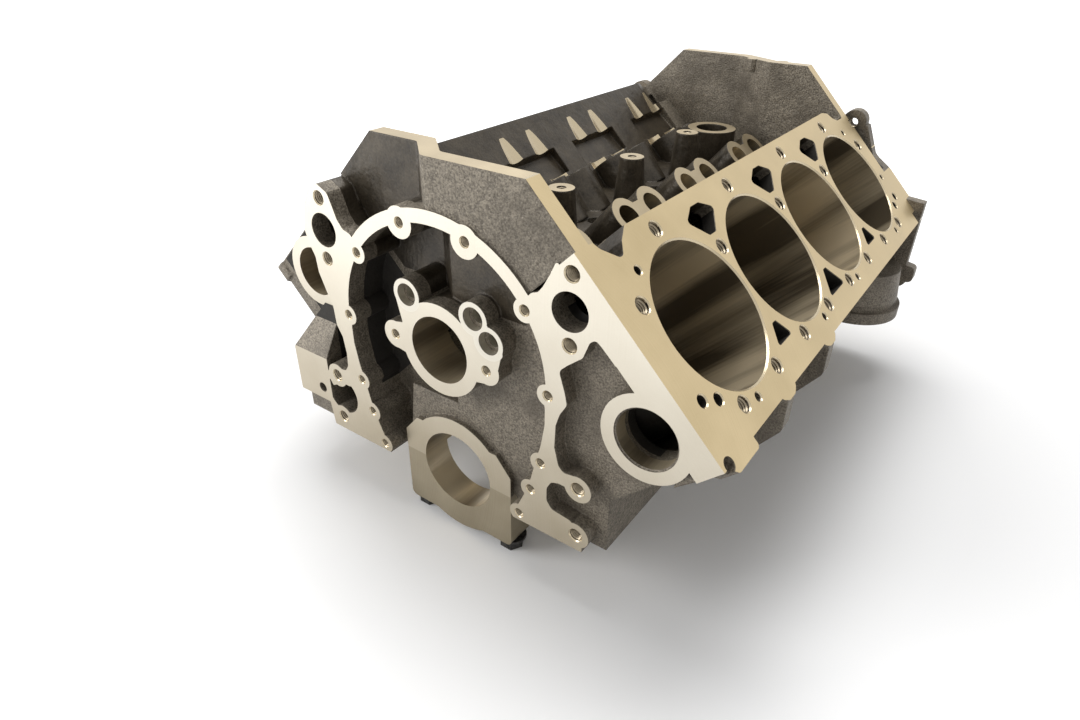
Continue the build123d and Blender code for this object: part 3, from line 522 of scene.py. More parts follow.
    def noise(
        self,
        size: float,
        detail: float = 3.0,
        roughness: float = 0.5,
        source: Socket | None = None,
    ) -> Field:
        """Makes a noise texture fixed to the object.

        Args:
            size: Size of its features.
            detail: Octaves.
            roughness: Share of the finer octaves.
            source: The point that it is read at, or None for the surface point.

        Returns:
            The noise, from 0 to 1.
        """
        node = self.node("ShaderNodeTexNoise")
        node.inputs["Scale"].default_value = 1.0 / (size * MM)
        node.inputs["Detail"].default_value = detail
        node.inputs["Roughness"].default_value = roughness
        self.link(self.position if source is None else source, node.inputs["Vector"])
        return Field(self, node.outputs["Fac"])

    def pits(self, size: float) -> Field:
        """Returns the distance to the nearest of scattered points, from 0 to about 1."""
        node = self.node("ShaderNodeTexVoronoi")
        node.inputs["Scale"].default_value = 1.0 / (size * MM)
        self.link(self.position, node.inputs["Vector"])
        return Field(self, node.outputs["Distance"])

    def blend(
        self,
        factor: Field,
        low: "Colour | Socket",
        high: "Colour | Socket",
    ) -> Socket:
        """Mixes two colours.

        Args:
            factor: 0 for the first colour and 1 for the second.
            low: First colour.
            high: Second colour.

        Returns:
            The output socket of the mixed colour.
        """
        node = self.node("ShaderNodeMix")
        node.data_type = "RGBA"
        self.link(factor.socket, node.inputs["Factor"])
        for socket, colour in ((node.inputs[6], low), (node.inputs[7], high)):
            if isinstance(colour, Socket):
                self.link(colour, socket)
            else:
                socket.default_value = (*colour, 1.0)
        return node.outputs[2]

    def bump(
        self, height: Field, depth: float, normal: Socket | None = None
    ) -> Socket:
        """Turns a height into a change of normal.

        Args:
            height: The height, from 0 to 1.
            depth: What a height of 1 is.
            normal: The normal that is changed, or None for the surface's own.

        Returns:
            The output socket of the normal.
        """
        node = self.node("ShaderNodeBump")
        node.inputs["Strength"].default_value = 1.0
        node.inputs["Distance"].default_value = depth * MM
        self.link(height.socket, node.inputs["Height"])
        if normal is not None:
            self.link(normal, node.inputs["Normal"])
        return node.outputs[0]

    def rounded(self, radius: float) -> Socket:
        """Returns the normal with edges softened to a radius."""
        node = self.node("ShaderNodeBevel")
        node.samples = BEVEL_SAMPLES
        node.inputs["Radius"].default_value = radius * MM
        return node.outputs[0]

    def principled(self, metallic: float, roughness: float) -> bpy.types.Node:
        """Returns a Principled shader with its metallic and roughness values set."""
        shader = self.node("ShaderNodeBsdfPrincipled")
        shader.inputs["Metallic"].default_value = metallic
        shader.inputs["Roughness"].default_value = roughness
        return shader

    def mix(
        self, mask: Field, under: Socket, over: Socket
    ) -> Socket:
        """Returns the shader that is over where the mask is 1, and under elsewhere."""
        node = self.node("ShaderNodeMixShader")
        self.link(mask.socket, node.inputs[0])
        self.link(under, node.inputs[1])
        self.link(over, node.inputs[2])
        return node.outputs[0]

    def seen(self) -> Field:
        """Returns 1 for camera, glossy and transmission rays, and 0 for other rays."""
        path = self.node("ShaderNodeLightPath")
        return self.any([Field(self, path.outputs[f"Is {kind} Ray"]) for kind in RAYS_THAT_SEE])

    def finish(self, surface: Socket) -> bpy.types.Material | bpy.types.World:
        """Sets the surface of the material or world, and returns its owner."""
        self.link(surface, self.output.inputs["Surface"])
        return self.owner


class Finish:
    """A kind of surface, which adds its shader to a node tree."""

    def shader(self, graph: Graph) -> Socket:
        """Adds the shader and returns its output. Each finish has its own."""
        raise NotImplementedError

    def material(self, name: str) -> bpy.types.Material:
        """Returns a material of this finish alone, with a name."""
        graph = Graph(bpy.data.materials.new(name))
        return graph.finish(self.shader(graph))


@dataclass(frozen=True)
class SandCastIron(Finish):
    """Raw cast iron surface with the grain of the sand mould.

    Args:
        dark: Colour of the hollows between the grains.
        pale: Colour of the high spots.
        stain: Colour of the oily patches.
        grain: Size of the sand grain.
        relief: Height of the grain.
        swell: Height of the skin's unevenness.
        rounding: Radius of the cast edges.
        roughness: Roughness of the surface.
    """

    dark: Colour = (0.100, 0.084, 0.063)
    pale: Colour = (0.290, 0.252, 0.196)
    stain: Colour = (0.080, 0.066, 0.048)
    grain: float = 1.35
    relief: float = 0.5
    swell: float = 0.8
    rounding: float = 1.6
    roughness: float = 0.52

    def shader(self, graph: Graph) -> Socket:
        """Adds the finish's shader to a material.

        Args:
            graph: The material.

        Returns:
            The shader's output.
        """
        shader = graph.principled(0.3, self.roughness)
        grain = graph.noise(self.grain, detail=2.0, roughness=0.6)
        broad = graph.noise(34.0, detail=3.0)
        tone = (grain + graph.noise(6.0, detail=2.0) * 0.2).ramp(0.44, 0.76)
        colour = graph.blend(tone, self.dark, self.pale)
        colour = graph.blend(broad.ramp(0.48, 0.72, 0.0, 0.7), colour, self.stain)
        graph.link(colour, shader.inputs["Base Color"])
        swell = graph.bump(graph.noise(8.0, detail=2.0), self.swell, graph.rounded(self.rounding))
        sand = graph.bump(grain, self.relief, swell)
        graph.link(graph.bump(graph.pits(2.6).ramp(0.1, 0.45), 0.1, sand), shader.inputs["Normal"])
        return shader.outputs[0]


@dataclass(frozen=True)
class DarkSmoothIron(Finish):
    """Darker, smoother cast skin, used over the valley and, in near-black, as painted shade over the water
    spaces.

    Args:
        dark: Colour of the hollows.
        pale: Colour of the high spots.
        roughness: Roughness of the surface.
        relief: Height of the grain.
        swell: Height of the skin's unevenness.
        rounding: Radius of the cast edges.
    """

    dark: Colour = (0.020, 0.015, 0.009)
    pale: Colour = (0.080, 0.064, 0.043)
    roughness: float = 0.36
    relief: float = 0.15
    swell: float = 0.8
    rounding: float = 2.0

    def shader(self, graph: Graph) -> Socket:
        """Adds the finish's shader to a material.

        Args:
            graph: The material.

        Returns:
            The shader's output.
        """
        shader = graph.principled(0.35, self.roughness)
        grain = graph.noise(1.6, detail=3.0)
        tone = (grain * 0.6 + graph.noise(18.0, detail=2.0) * 0.7).ramp(0.4, 0.9)
        graph.link(graph.blend(tone, self.dark, self.pale), shader.inputs["Base Color"])
        swell = graph.bump(graph.noise(10.0, detail=2.0), self.swell, graph.rounded(self.rounding))
        graph.link(graph.bump(grain, self.relief, swell), shader.inputs["Normal"])
        return shader.outputs[0]


@dataclass(frozen=True)
class MilledIron(Finish):
    """Cast iron surface cut flat by a wide face mill, whose teeth leave fine arcs.

    Args:
        colour: Colour of the metal, and of the painted light high up where the faces change with height.
        shade: Colour of the duller patches, and of the painted shade low down where the faces change with
            height.
        travel: Direction in which the mill travelled.
        across: Direction across its path.
        mill_radius: Radius of the mill.
        feed: Distance between the tooth marks.
        roughness: Roughness of the surface.
        painted_shade_below: Height up to which the faces are painted darker as shade, where they change with
            height.
        painted_light_above: Height from which they are painted paler as light.
    """

    colour: Colour
    shade: Colour
    travel: Vector
    across: Vector
    mill_radius: float = 160.0
    feed: float = 1.1
    roughness: float = 0.40
    painted_shade_below: float = 0.0
    painted_light_above: float = 0.0

    def marks(self, graph: Graph) -> Field:
        """Returns the pattern of the tooth marks, from 0 to 1."""
        side = graph.along(graph.position, self.across)
        square = graph.maths("MULTIPLY", side, side)
        reach = graph.maths("SUBTRACT", (self.mill_radius * MM) ** 2, square)
        arc = graph.maths("SQRT", graph.maths("MAXIMUM", reach, 0.0))
        phase = graph.along(graph.position, self.travel) - arc
        node = graph.node("ShaderNodeTexNoise")
        node.noise_dimensions = "1D"
        node.inputs["Scale"].default_value = 1.0 / (self.feed * MM)
        node.inputs["Detail"].default_value = 2.0
        graph.link(phase.socket, node.inputs["W"])
        return Field(graph, node.outputs["Fac"])

    def shader(self, graph: Graph) -> Socket:
        """Adds the finish's shader to a material.

        Args:
            graph: The material.

        Returns:
            The shader's output.
        """
        shader = graph.principled(0.85, self.roughness)
        patches = graph.noise(45.0, detail=3.0)
        fleck = graph.noise(0.9, detail=2.0)
        marks = self.marks(graph)
        tone = (patches * 0.75 + fleck * 0.15 + marks * 0.2).ramp(0.35, 0.8)
        # Painted light: where the faces change with height, the tone is set mostly by height, darker low down
        # and paler high up, in place of how the light falls.
        if self.painted_light_above > self.painted_shade_below:
            height = graph.place("Z").ramp(self.painted_shade_below * MM, self.painted_light_above * MM)
            tone = tone * 0.3 + height * 0.8
        graph.link(graph.blend(tone, self.shade, self.colour), shader.inputs["Base Color"])
        rough = patches.ramp(0.3, 0.7, self.roughness - 0.05, self.roughness + 0.06)
        graph.link(rough.socket, shader.inputs["Roughness"])
        graph.link(graph.bump(marks, 0.02, graph.bump(fleck, 0.02)), shader.inputs["Normal"])
        return shader.outputs[0]


@dataclass(frozen=True)
class BoredIron(Finish):
    """Honed wall of a bore, with soft bands along its axis.

    Args:
        axis: Direction of the bore.
        dark: Colour of the darker bands.
        pale: Colour of the paler bands.
        roughness: Roughness of the surface.
    """

    axis: Vector
    dark: Colour = (0.090, 0.071, 0.045)
    pale: Colour = (0.64, 0.54, 0.375)
    roughness: float = 0.38

    def shader(self, graph: Graph) -> Socket:
        """Adds the finish's shader to a material.

        Args:
            graph: The material.

        Returns:
            The shader's output.
        """
        shader = graph.principled(0.55, self.roughness)
        bands = graph.streaks(self.axis, 30.0, 9.0, detail=1.0)
        lines = graph.streaks(self.axis, 2.0, 30.0)
        scratch = graph.noise(0.8, detail=2.0)
        tone = (bands + lines * 0.13).ramp(0.44, 0.68)
        graph.link(graph.blend(tone, self.dark, self.pale), shader.inputs["Base Color"])
        graph.link(graph.bump(scratch, 0.02), shader.inputs["Normal"])
        return shader.outputs[0]


TUNNEL_FINISH = BoredIron(REAR, dark=(0.20, 0.16, 0.105))


@dataclass(frozen=True)
class FreshCut(Finish):
    """Bright metal of chamfers, reamed holes and screw threads.

    Args:
        colour: Colour of the metal.
        roughness: Roughness of the surface.
    """

    colour: Colour = (0.68, 0.64, 0.55)
    roughness: float = 0.28

    def shader(self, graph: Graph) -> Socket:
        """Adds the finish's shader to a material.

        Args:
            graph: The material.

        Returns:
            The shader's output.
        """
        shader = graph.principled(0.7, self.roughness)
        shader.inputs["Base Color"].default_value = (*self.colour, 1.0)
        graph.link(graph.bump(graph.noise(0.7, detail=2.0), 0.02), shader.inputs["Normal"])
        return shader.outputs[0]


@dataclass(frozen=True)
class BlackOxide(Finish):
    """Oil-black finish of the bolts.

    Args:
        dark: Colour of the steel.
        worn: Colour where the black has worn thin.
        roughness: Roughness of the surface.
        rounding: Radius of the edges.
    """

    dark: Colour = (0.030, 0.029, 0.028)
    worn: Colour = (0.110, 0.105, 0.098)
    roughness: float = 0.36
    rounding: float = 0.5

    def shader(self, graph: Graph) -> Socket:
        """Adds the finish's shader to a material.

        Args:
            graph: The material.

        Returns:
            The shader's output.
        """
        shader = graph.principled(0.8, self.roughness)
        tone = graph.noise(3.0).ramp(0.35, 0.75)
        graph.link(graph.blend(tone, self.dark, self.worn), shader.inputs["Base Color"])
        graph.link(graph.bump(graph.noise(0.6), 0.04, graph.rounded(self.rounding)), shader.inputs["Normal"])
        return shader.outputs[0]


@dataclass(frozen=True)
class BlockFinish(Finish):
    """Finish of the casting: cast skin, with machined surfaces where the layout has them.

    Args:
        layout: Sizes of the engine.
        cast: Finish of the cast skin.
        valley_skin: Finish of the valley's darker, smoother skin.
        jacket_painted_shade: Near-black painted shade over the water spaces.
        bright: Finish of the oil galleries' mouths and the pads round them.
        rim: Finish of the chamfers and of the cutter's marks over the lifters.
        deck: Bright and dull colours of the decks.
        front: Paler and darker colours of the front and rear faces, spread mostly by height as painted light
            high up and painted shade low down, and partly at random.
        other: Bright and dull colours of the other machined faces.
        front_painted_light: Heights between which the front and rear faces turn from painted shade to painted
            light.
        front_roughness: Roughness of the front and rear faces.
        tunnel: Finish of the main and cam bores and of the front core plugs' bores.
        core_depth: Machined depth of the right bank's front core plug bore.
        left_core_depth: The same of the left bank's, from the timing face.
        gallery_radii: Radii of the oil galleries' counterbores and holes.
        gallery_end: Y at which they end.
        gallery_pad: Radius of the bright pads round them.
        lifter_start: Distance from the cam axis at which the lifter bores begin.
        deck_chamfer: Depth of the chamfers on the decks and the front.
        rear_chamfer: Depth of the chamfers on the rear.
    """

    layout: Layout
    cast: SandCastIron = SandCastIron()
    valley_skin: DarkSmoothIron = DarkSmoothIron()
    # Painted shade: the water spaces are painted near-black, dark from shade and not from their own colour.
    jacket_painted_shade: DarkSmoothIron = DarkSmoothIron((0.012, 0.010, 0.008), (0.030, 0.026, 0.020), 0.7)
    bright: FreshCut = FreshCut()
    rim: FreshCut = FreshCut((0.56, 0.47, 0.32), 0.24)
    deck: tuple[Colour, Colour] = ((0.69, 0.56, 0.34), (0.57, 0.45, 0.255))
    front: tuple[Colour, Colour] = ((0.68, 0.635, 0.54), (0.42, 0.36, 0.26))
    other: tuple[Colour, Colour] = ((0.58, 0.49, 0.34), (0.44, 0.36, 0.23))
    # Painted light and shade on the front and rear faces: darker low down, paler high up.
    front_painted_light: tuple[float, float] = (10.0, 170.0)
    front_roughness: float = 0.34
    tunnel: BoredIron = TUNNEL_FINISH
    core_depth: float = 12.0
    left_core_depth: float = 60.0
    gallery_radii: tuple[float, float] = (8.4, 5.2)
    gallery_end: float = 30.0
    gallery_pad: float = 12.8
    lifter_start: float = 20.0
    deck_chamfer: float = 1.2
    rear_chamfer: float = 0.8

    def decks(self) -> list[FlatCut]:
        """Returns the two decks."""
        layout = self.layout
        return [FlatCut(layout.deck_normal(side), layout.deck_height, self.deck_chamfer) for side in Side]

    def front_faces(self) -> list[FlatCut]:
        """Returns the machined faces that look forwards and back."""
        layout = self.layout
        left_core = FlatCut(FRONT, -layout.front_face - layout.stagger)
        return [
            FlatCut(FRONT, -layout.front_face, self.deck_chamfer),
            FlatCut(FRONT, 0.0),
            left_core,
            FlatCut(REAR, layout.rear_face, self.rear_chamfer),
        ]

    def other_faces(self) -> list[FlatCut]:
        """Returns the machined faces on the top, on the sides and below."""
        layout = self.layout
        cuts = [
            FlatCut(UP, layout.wall_top),
            FlatCut(UP, layout.post_top),
            FlatCut(UP, layout.seat_top),
            FlatCut(DOWN, -layout.rail_height),
            FlatCut(DOWN, 0.0),
            FlatCut(DOWN, -layout.filter_face),
            FlatCut(-ACROSS, layout.pump_face),
        ]
        for side in Side:
            cuts.append(FlatCut(side.value * ACROSS, layout.mount_face))
            cuts.append(FlatCut(layout.flank_normal(side), layout.side_core_face))
            lift = layout.lifter_axis(side)
            cuts.append(FlatCut(lift, layout.lifter_top + layout.cam_height * lift.z))
        return cuts

    def bores(self, side: Side) -> RoundCut:
        """Returns the cylinder bores of a bank."""
        layout = self.layout
        point = Vector((0, layout.bore_y(side, 0), 0))
        return RoundCut(
            point,
            layout.deck_normal(side),
            layout.bore_radius,
            layout.bore_end,
            layout.deck_height,
            layout.bore_spacing,
            layout.bore_count,
        )

    def line_bores(self) -> list[RoundCut]:
        """Returns the main and cam bores, and the bores of the core plugs at the front."""
        layout = self.layout
        core = layout.deck_point(Side.RIGHT, 0.0, *layout.core_across)
        left_core = Vector((layout.left_core[0], 0, layout.left_core[1]))
        start, end = layout.front_face, layout.rear_face
        return [
            RoundCut(CRANK_AXIS, REAR, layout.main_radius, start, end),
            RoundCut(layout.cam_height * UP, REAR, layout.cam_radius, start, end),
            RoundCut(core, REAR, layout.core_radius, start, start + self.core_depth),
            RoundCut(left_core, REAR, layout.core_radius, start, start + self.left_core_depth),
        ]

    def over_lifters(self, side: Side, radius: float, low: float, high: float) -> list[RoundCut]:
        """Makes the round cuts that share the lifters' axes.

        Args:
            side: The bank.
            radius: Radius of the cuts.
            low: Distance from the cam axis at which they begin.
            high: Distance at which they end.

        Returns:
            The cuts.
        """
        layout = self.layout
        axis = layout.lifter_axis(side)
        base = layout.cam_height * axis.z
        return [
            RoundCut(
                layout.lifter_point(side, first),
                axis,
                radius,
                base + low,
                base + high,
                2 * layout.bore_spacing,
                layout.bore_count // 2,
                layout.lifter_half_pitch,
            )
            for first in (0, 1)
        ]

    def gallery_mouths(self) -> list[RoundCut]:
        """Returns the oil galleries' counterbores and holes at the front."""
        layout = self.layout
        start, end = layout.front_face, self.gallery_end
        places = [Vector((x, 0, z)) for x, z in layout.galleries]
        return [RoundCut(spot, REAR, radius, start, end) for spot in places for radius in self.gallery_radii]

    def valley_mask(self, graph: Graph) -> Field:
        """Returns the mask of the valley between the banks and the end walls."""
        layout = self.layout
        mask = graph.place("Y").between(layout.valley_start * MM, layout.valley_end * MM)
        mask = mask * graph.place("Z").above(layout.valley_floor * MM)
        for side in Side:
            inward = graph.along(graph.position, -layout.flank_normal(side))
            mask = mask * inward.above(layout.valley_half * MM)
        return mask

    def painted_water_space_mask(self, graph: Graph) -> Field:
        """Returns the mask of the painted shade over the water spaces inside the banks."""
        layout = self.layout
        masks = []
        for side in Side:
            low, high = layout.jacket
            height = graph.along(graph.position, layout.deck_normal(side)).between(low * MM, high * MM)
            across = graph.along(graph.position, layout.flank_normal(side)).absolute()
            masks.append(height * across.below(layout.jacket_half * MM))
        return graph.any(masks) * graph.place("Y").between(layout.jacket_start * MM, layout.jacket_end * MM)

    def pad_mask(self, graph: Graph) -> Field:
        """Returns the mask of the pads round the oil galleries' mouths."""
        layout = self.layout
        places = [Vector((x, 0, z)) for x, z in layout.galleries]
        discs = [graph.distance(spot, REAR).below(self.gallery_pad * MM) for spot in places]
        return graph.any(discs) * graph.flat(FlatCut(FRONT, -layout.front_face))

    def shader(self, graph: Graph) -> Socket:
        """Adds the finish's shader to a material.

        Args:
            graph: The material.

        Returns:
            The shader's output.
        """
        layout = self.layout
        decks, fronts, others = self.decks(), self.front_faces(), self.other_faces()
        deck_skin = MilledIron(*self.deck, REAR, layout.flank_normal(Side.RIGHT))
        other_skin = MilledIron(*self.other, REAR, ACROSS)
        low, high = self.front_painted_light
        front_skin = MilledIron(
            *self.front, ACROSS, UP, roughness=self.front_roughness, painted_shade_below=low, painted_light_above=high
        )
        layers = [
            # Painted shade over the water spaces inside the banks.
            (self.painted_water_space_mask(graph), self.jacket_painted_shade.shader(graph)),
            (self.valley_mask(graph), self.valley_skin.shader(graph)),
            (graph.any([graph.flat(cut) for cut in decks]), deck_skin.shader(graph)),
            (graph.any([graph.flat(cut) for cut in fronts]), front_skin.shader(graph)),
            (graph.any([graph.flat(cut) for cut in others]), other_skin.shader(graph)),
        ]
        for side in Side:
            lifters = self.over_lifters(side, layout.lifter_radius, self.lifter_start, layout.lifter_top)
            walls = graph.any([graph.round(cut) for cut in (self.bores(side), *lifters)])
            layers.append((walls, BoredIron(layout.deck_normal(side)).shader(graph)))
        line = graph.any([graph.round(cut) for cut in self.line_bores()])
        layers.append((line, self.tunnel.shader(graph)))
        fresh = [graph.round(cut) for cut in self.gallery_mouths()]
        layers.append((graph.any([*fresh, self.pad_mask(graph)]), self.bright.shader(graph)))
        rims = [graph.chamfers(cut) for cut in decks + fronts if cut.chamfer]
        for side in Side:
            marks = self.over_lifters(side, layout.lifter_cutter, layout.lifter_top, layout.lifter_cut_end)
            rims += [graph.round(cut) for cut in marks]
        layers.append((graph.any(rims), self.rim.shader(graph)))
        surface = self.cast.shader(graph)
        for mask, shader in layers:
            surface = graph.mix(mask, surface, shader)
        return surface


@dataclass(frozen=True)
class CapFinish(Finish):
    """Finish of the main caps: cut flat in front, behind, at the sides and below.

    Args:
        layout: Sizes of the engine.
        milled: Bright and dull colours of the machined faces.
        tunnel: Finish of the main bores.
    """

    layout: Layout
    milled: tuple[Colour, Colour] = ((0.42, 0.365, 0.265), (0.29, 0.245, 0.17))
    tunnel: BoredIron = TUNNEL_FINISH

    def shader(self, graph: Graph) -> Socket:
        """Adds the finish's shader to a material.

        Args:
            graph: The material.

        Returns:
            The shader's output.
        """
        layout = self.layout
        skin = MilledIron(*self.milled, ACROSS, UP)
        ends = graph.along(graph.normal, REAR).absolute().above(FLAT)
        sides = graph.along(graph.normal, ACROSS).absolute().above(FLAT)
        seats = graph.along(graph.normal, DOWN).above(FLAT)
        surface = graph.mix(graph.any([ends, sides, seats]), SandCastIron().shader(graph), skin.shader(graph))
        bore = RoundCut(CRANK_AXIS, REAR, layout.main_radius, layout.front_face, layout.rear_face)
        return graph.mix(graph.round(bore), surface, self.tunnel.shader(graph))


@dataclass
class Casting:
    """The block itself, its main bearing caps and their bolts, as the CAD model has them.

    Args:
        layout: Sizes of the engine.
        nodes: The CAD model's objects by name.
    """

    layout: Layout
    nodes: dict[str, bpy.types.Object]

    def dress(self) -> None:
        """Gives the block, the caps and the bolts their finishes."""
        block = BlockFinish(self.layout).material("block_iron")
        cap = CapFinish(self.layout).material("cap_iron")
        black = BlackOxide().material("black_oxide")
        for name, node in self.nodes.items():
            finish = black if "bolt" in name else cap if "cap" in name else block
            for slot in node.material_slots:
                slot.material = finish
            LOG.info("%s: finished with %s", name, finish.name)


@dataclass(frozen=True)
class Thread:
    """A size of thread.

    Args:
        radius: Radius of the hole.
        pitch: Distance from turn to turn.
    """

    radius: float
    pitch: float


# Steps over which a ridge grows at each end, and how far its foot stands off the hole's wall.
RUN_IN = 6
WALL_GAP = 0.02
# Depth of the first turn in a hole whose mouth has no chamfer.
PLAIN_START = 0.1
HEAD_THREAD = Thread(5.5, 1.814)
LARGE_THREAD = Thread(4.8, 1.588)
POST_THREAD = Thread(4.0, 1.27)
SMALL_THREAD = Thread(3.3, 1.27)
PAN_THREAD = Thread(2.9, 1.27)


@dataclass(frozen=True)
class Tapping:
    """A set of equal tapped holes.

    Args:
        name: Name of the set.
        mouths: Middle of each hole's mouth.
        axis: Direction out of the holes.
        thread: Their thread.
        turns: Turns of thread that are made.
        start: Depth of the first turn under the mouth.
        steps: Faces round one turn.
    """

    name: str
    mouths: tuple[Vector, ...]
    axis: Vector
    thread: Thread
    turns: int = 8
    start: float = 0.7
    steps: int = 20

    def section(self) -> tuple[tuple[float, float], ...]:
        """Returns the ridge's section, as shares of the pitch and heights over the hole's wall."""
        height = 0.45 * self.thread.pitch
        return ((0.0, 0.0), (0.43, height), (0.55, height), (0.98, 0.0))

    def ring(self, shape: bmesh.types.BMesh, mouth: Vector, step: int) -> list[bmesh.types.BMVert]:
        """Makes the ridge's section at one step of the helix.

        Args:
            shape: The mesh.
            mouth: Middle of the hole's mouth.
            step: Number of the step.

        Returns:
            Its corners.
        """
        turn = self.axis.to_track_quat("Z", "Y").to_matrix()
        angle = 2 * math.pi * step / self.steps
        fade = min(1.0, step / RUN_IN, (self.turns * self.steps - step) / RUN_IN)
        corners = []
        for share, height in self.section():
            radius = self.thread.radius - WALL_GAP - height * max(fade, 0.05)
            down = self.start + (step / self.steps + share) * self.thread.pitch
            spot = Vector((radius * math.cos(angle), radius * math.sin(angle), -down))
            corners.append(shape.verts.new((mouth + turn @ spot) * MM))
        return corners

    def build(self) -> bpy.types.Object:
        """Builds the ridges of all holes as one piece.

        Returns:
            The piece.
        """
        shape = bmesh.new()
        size = len(self.section())
        for mouth in self.mouths:
            rings = [self.ring(shape, mouth, step) for step in range(self.steps * self.turns + 1)]
            for here, ahead in zip(rings, rings[1:]):
                for k in range(size):
                    after = (k + 1) % size
                    shape.faces.new((here[k], here[after], ahead[after], ahead[k]))
            shape.faces.new(rings[0])
            shape.faces.new(reversed(rings[-1]))
        bmesh.ops.recalc_face_normals(shape, faces=shape.faces)
        shape.verts.index_update()
        for face in shape.faces:
            face.smooth = True
        for edge in shape.edges:
            edge.smooth = abs(edge.verts[0].index - edge.verts[1].index) != size
        mesh = bpy.data.meshes.new(self.name)
        shape.to_mesh(mesh)
        shape.free()
        piece = bpy.data.objects.new(self.name, mesh)
        bpy.context.collection.objects.link(piece)
        return piece


@dataclass
class ScrewThreads:
    """Screw threads of the tapped holes, each a helical ridge on the hole's wall.

    Args:
        layout: Sizes of the engine.
        metal: Finish of the threads.
    """

    layout: Layout
    metal: FreshCut = FreshCut((0.30, 0.25, 0.175), 0.34)

    def deck_set(self, side: Side) -> Tapping:
        """Returns the head bolts' holes of a bank."""
        layout = self.layout
        quarter = layout.bore_spacing / 4
        spots = [(layout.bore_y(Side.RIGHT, index - 0.5), 29.6) for index in range(layout.bore_count + 1)]
        for index in range(layout.bore_count):
            y = layout.bore_y(Side.RIGHT, index)
            spots += [(y, 63.5), (y - quarter, -55.0), (y + quarter, -55.0)]
        mouths = tuple(layout.deck_point(side, *spot) for spot in spots)
        name = f"head_bolt_threads_{side.name.lower()}"
        return Tapping(name, mouths, layout.deck_normal(side), HEAD_THREAD)

    def end_set(
        self, name: str, spots: list[tuple[float, float]], axis: Vector, thread: Thread
    ) -> Tapping:
        """Makes a set of holes in the front or rear, on both sides of the middle.

        Args:
            name: Name of the set.
            spots: X and Z of the right side's holes.
            axis: Direction out of the holes.
            thread: Their thread.

        Returns:
            The set.
        """
        y = self.layout.front_face if axis == FRONT else self.layout.rear_face
        mouths = tuple(Vector((sign * x, y, z)) for x, z in spots for sign in (1, -1))
        return Tapping(name, mouths, axis, thread)

    def mount_set(self, side: Side) -> Tapping:
        """Returns the engine mount's holes of a bank."""
        layout = self.layout
        middle = Vector((side.value * layout.mount_face, layout.bore_y(side, 1), layout.mount_height))
        mouths = []
        for turn in (30, 150, 270):
            angle = math.radians(turn)
            mouths.append(middle + layout.mount_circle * (math.cos(angle) * REAR + math.sin(angle) * UP))
        name = f"engine_mount_threads_{side.name.lower()}"
        return Tapping(name, tuple(mouths), side.value * ACROSS, LARGE_THREAD, start=PLAIN_START)

    def sets(self) -> list[Tapping]:
        """Returns every set of tapped holes."""
        layout = self.layout
        cover = [(28.35, 202.2), (74.55, 169.3), (92.85, 114.0), (87.9, 57.0), (79.65, 29.7), (69.45, 1.6)]
        large = [(108.0, 202.5), (108.0, 156.0), (118.5, 49.5), (118.5, 8.0)]
        bell = [(126.0, 198.0), (199.0, 117.0), (205.0, 45.0)]
        tops = tuple(Vector((0, y, layout.post_top)) for y in (137.555, 249.315, 361.075))
        pump = tuple(Vector((-layout.pump_face, y, 38.0)) for y in (-1.5, 52.5))
        starter = tuple(Vector((-157.0, y, layout.rail_height)) for y in (435.5, 471.5))
        rail = [23.5 + 62.0 * index for index in range(8)]
        pan = tuple(Vector((x, y, layout.rail_height)) for x in (-127.5, 127.5) for y in rail)
        return [
            *[self.deck_set(side) for side in Side],
            self.end_set("timing_cover_threads", cover, FRONT, SMALL_THREAD),
            self.end_set("pump_and_foot_threads", large, FRONT, LARGE_THREAD),
            self.end_set("thrust_plate_threads", [(42.5, 114.0)], FRONT, SMALL_THREAD),
            self.end_set("bellhousing_threads", bell, REAR, LARGE_THREAD),
            *[self.mount_set(side) for side in Side],
            Tapping("post_threads", tops, UP, POST_THREAD, start=PLAIN_START),
            Tapping("fuel_pump_threads", pump, -ACROSS, LARGE_THREAD, start=PLAIN_START),
            Tapping("starter_threads", starter, DOWN, LARGE_THREAD, start=PLAIN_START),
            Tapping("oil_pan_threads", pan, DOWN, PAN_THREAD, turns=6, start=PLAIN_START, steps=14),
        ]

    def build(self) -> list[bpy.types.Object]:
        """Builds and dresses all threads.

        Returns:
            The pieces.
        """
        finish = self.metal.material("thread_metal")
        pieces = []
        for tapping in self.sets():
            piece = tapping.build()
            piece.data.materials.append(finish)
            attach(piece, BODY)
            LOG.info("%s: %d holes", piece.name, len(tapping.mouths))
            pieces.append(piece)
        return pieces


@dataclass(frozen=True)
class Lamp:
    """A square soft lamp.

    Args:
        name: Name of the lamp.
        place: Where it hangs, in metres.
        size: Its width, in metres.
        power: Its power, in watts.
    """

    name: str
    place: Vector
    size: float
    power: float

    def build(self, target: Vector) -> None:
        """Hangs the lamp, pointed at a target in metres."""
        data = bpy.data.lights.new(self.name, "AREA")
        data.shape = "SQUARE"
        data.size = self.size
        data.energy = self.power
        lamp = bpy.data.objects.new(self.name, data)
        lamp.location = self.place
        lamp.rotation_mode = "QUATERNION"
        lamp.rotation_quaternion = (target - self.place).to_track_quat("-Z", "Y")
        bpy.context.collection.objects.link(lamp)


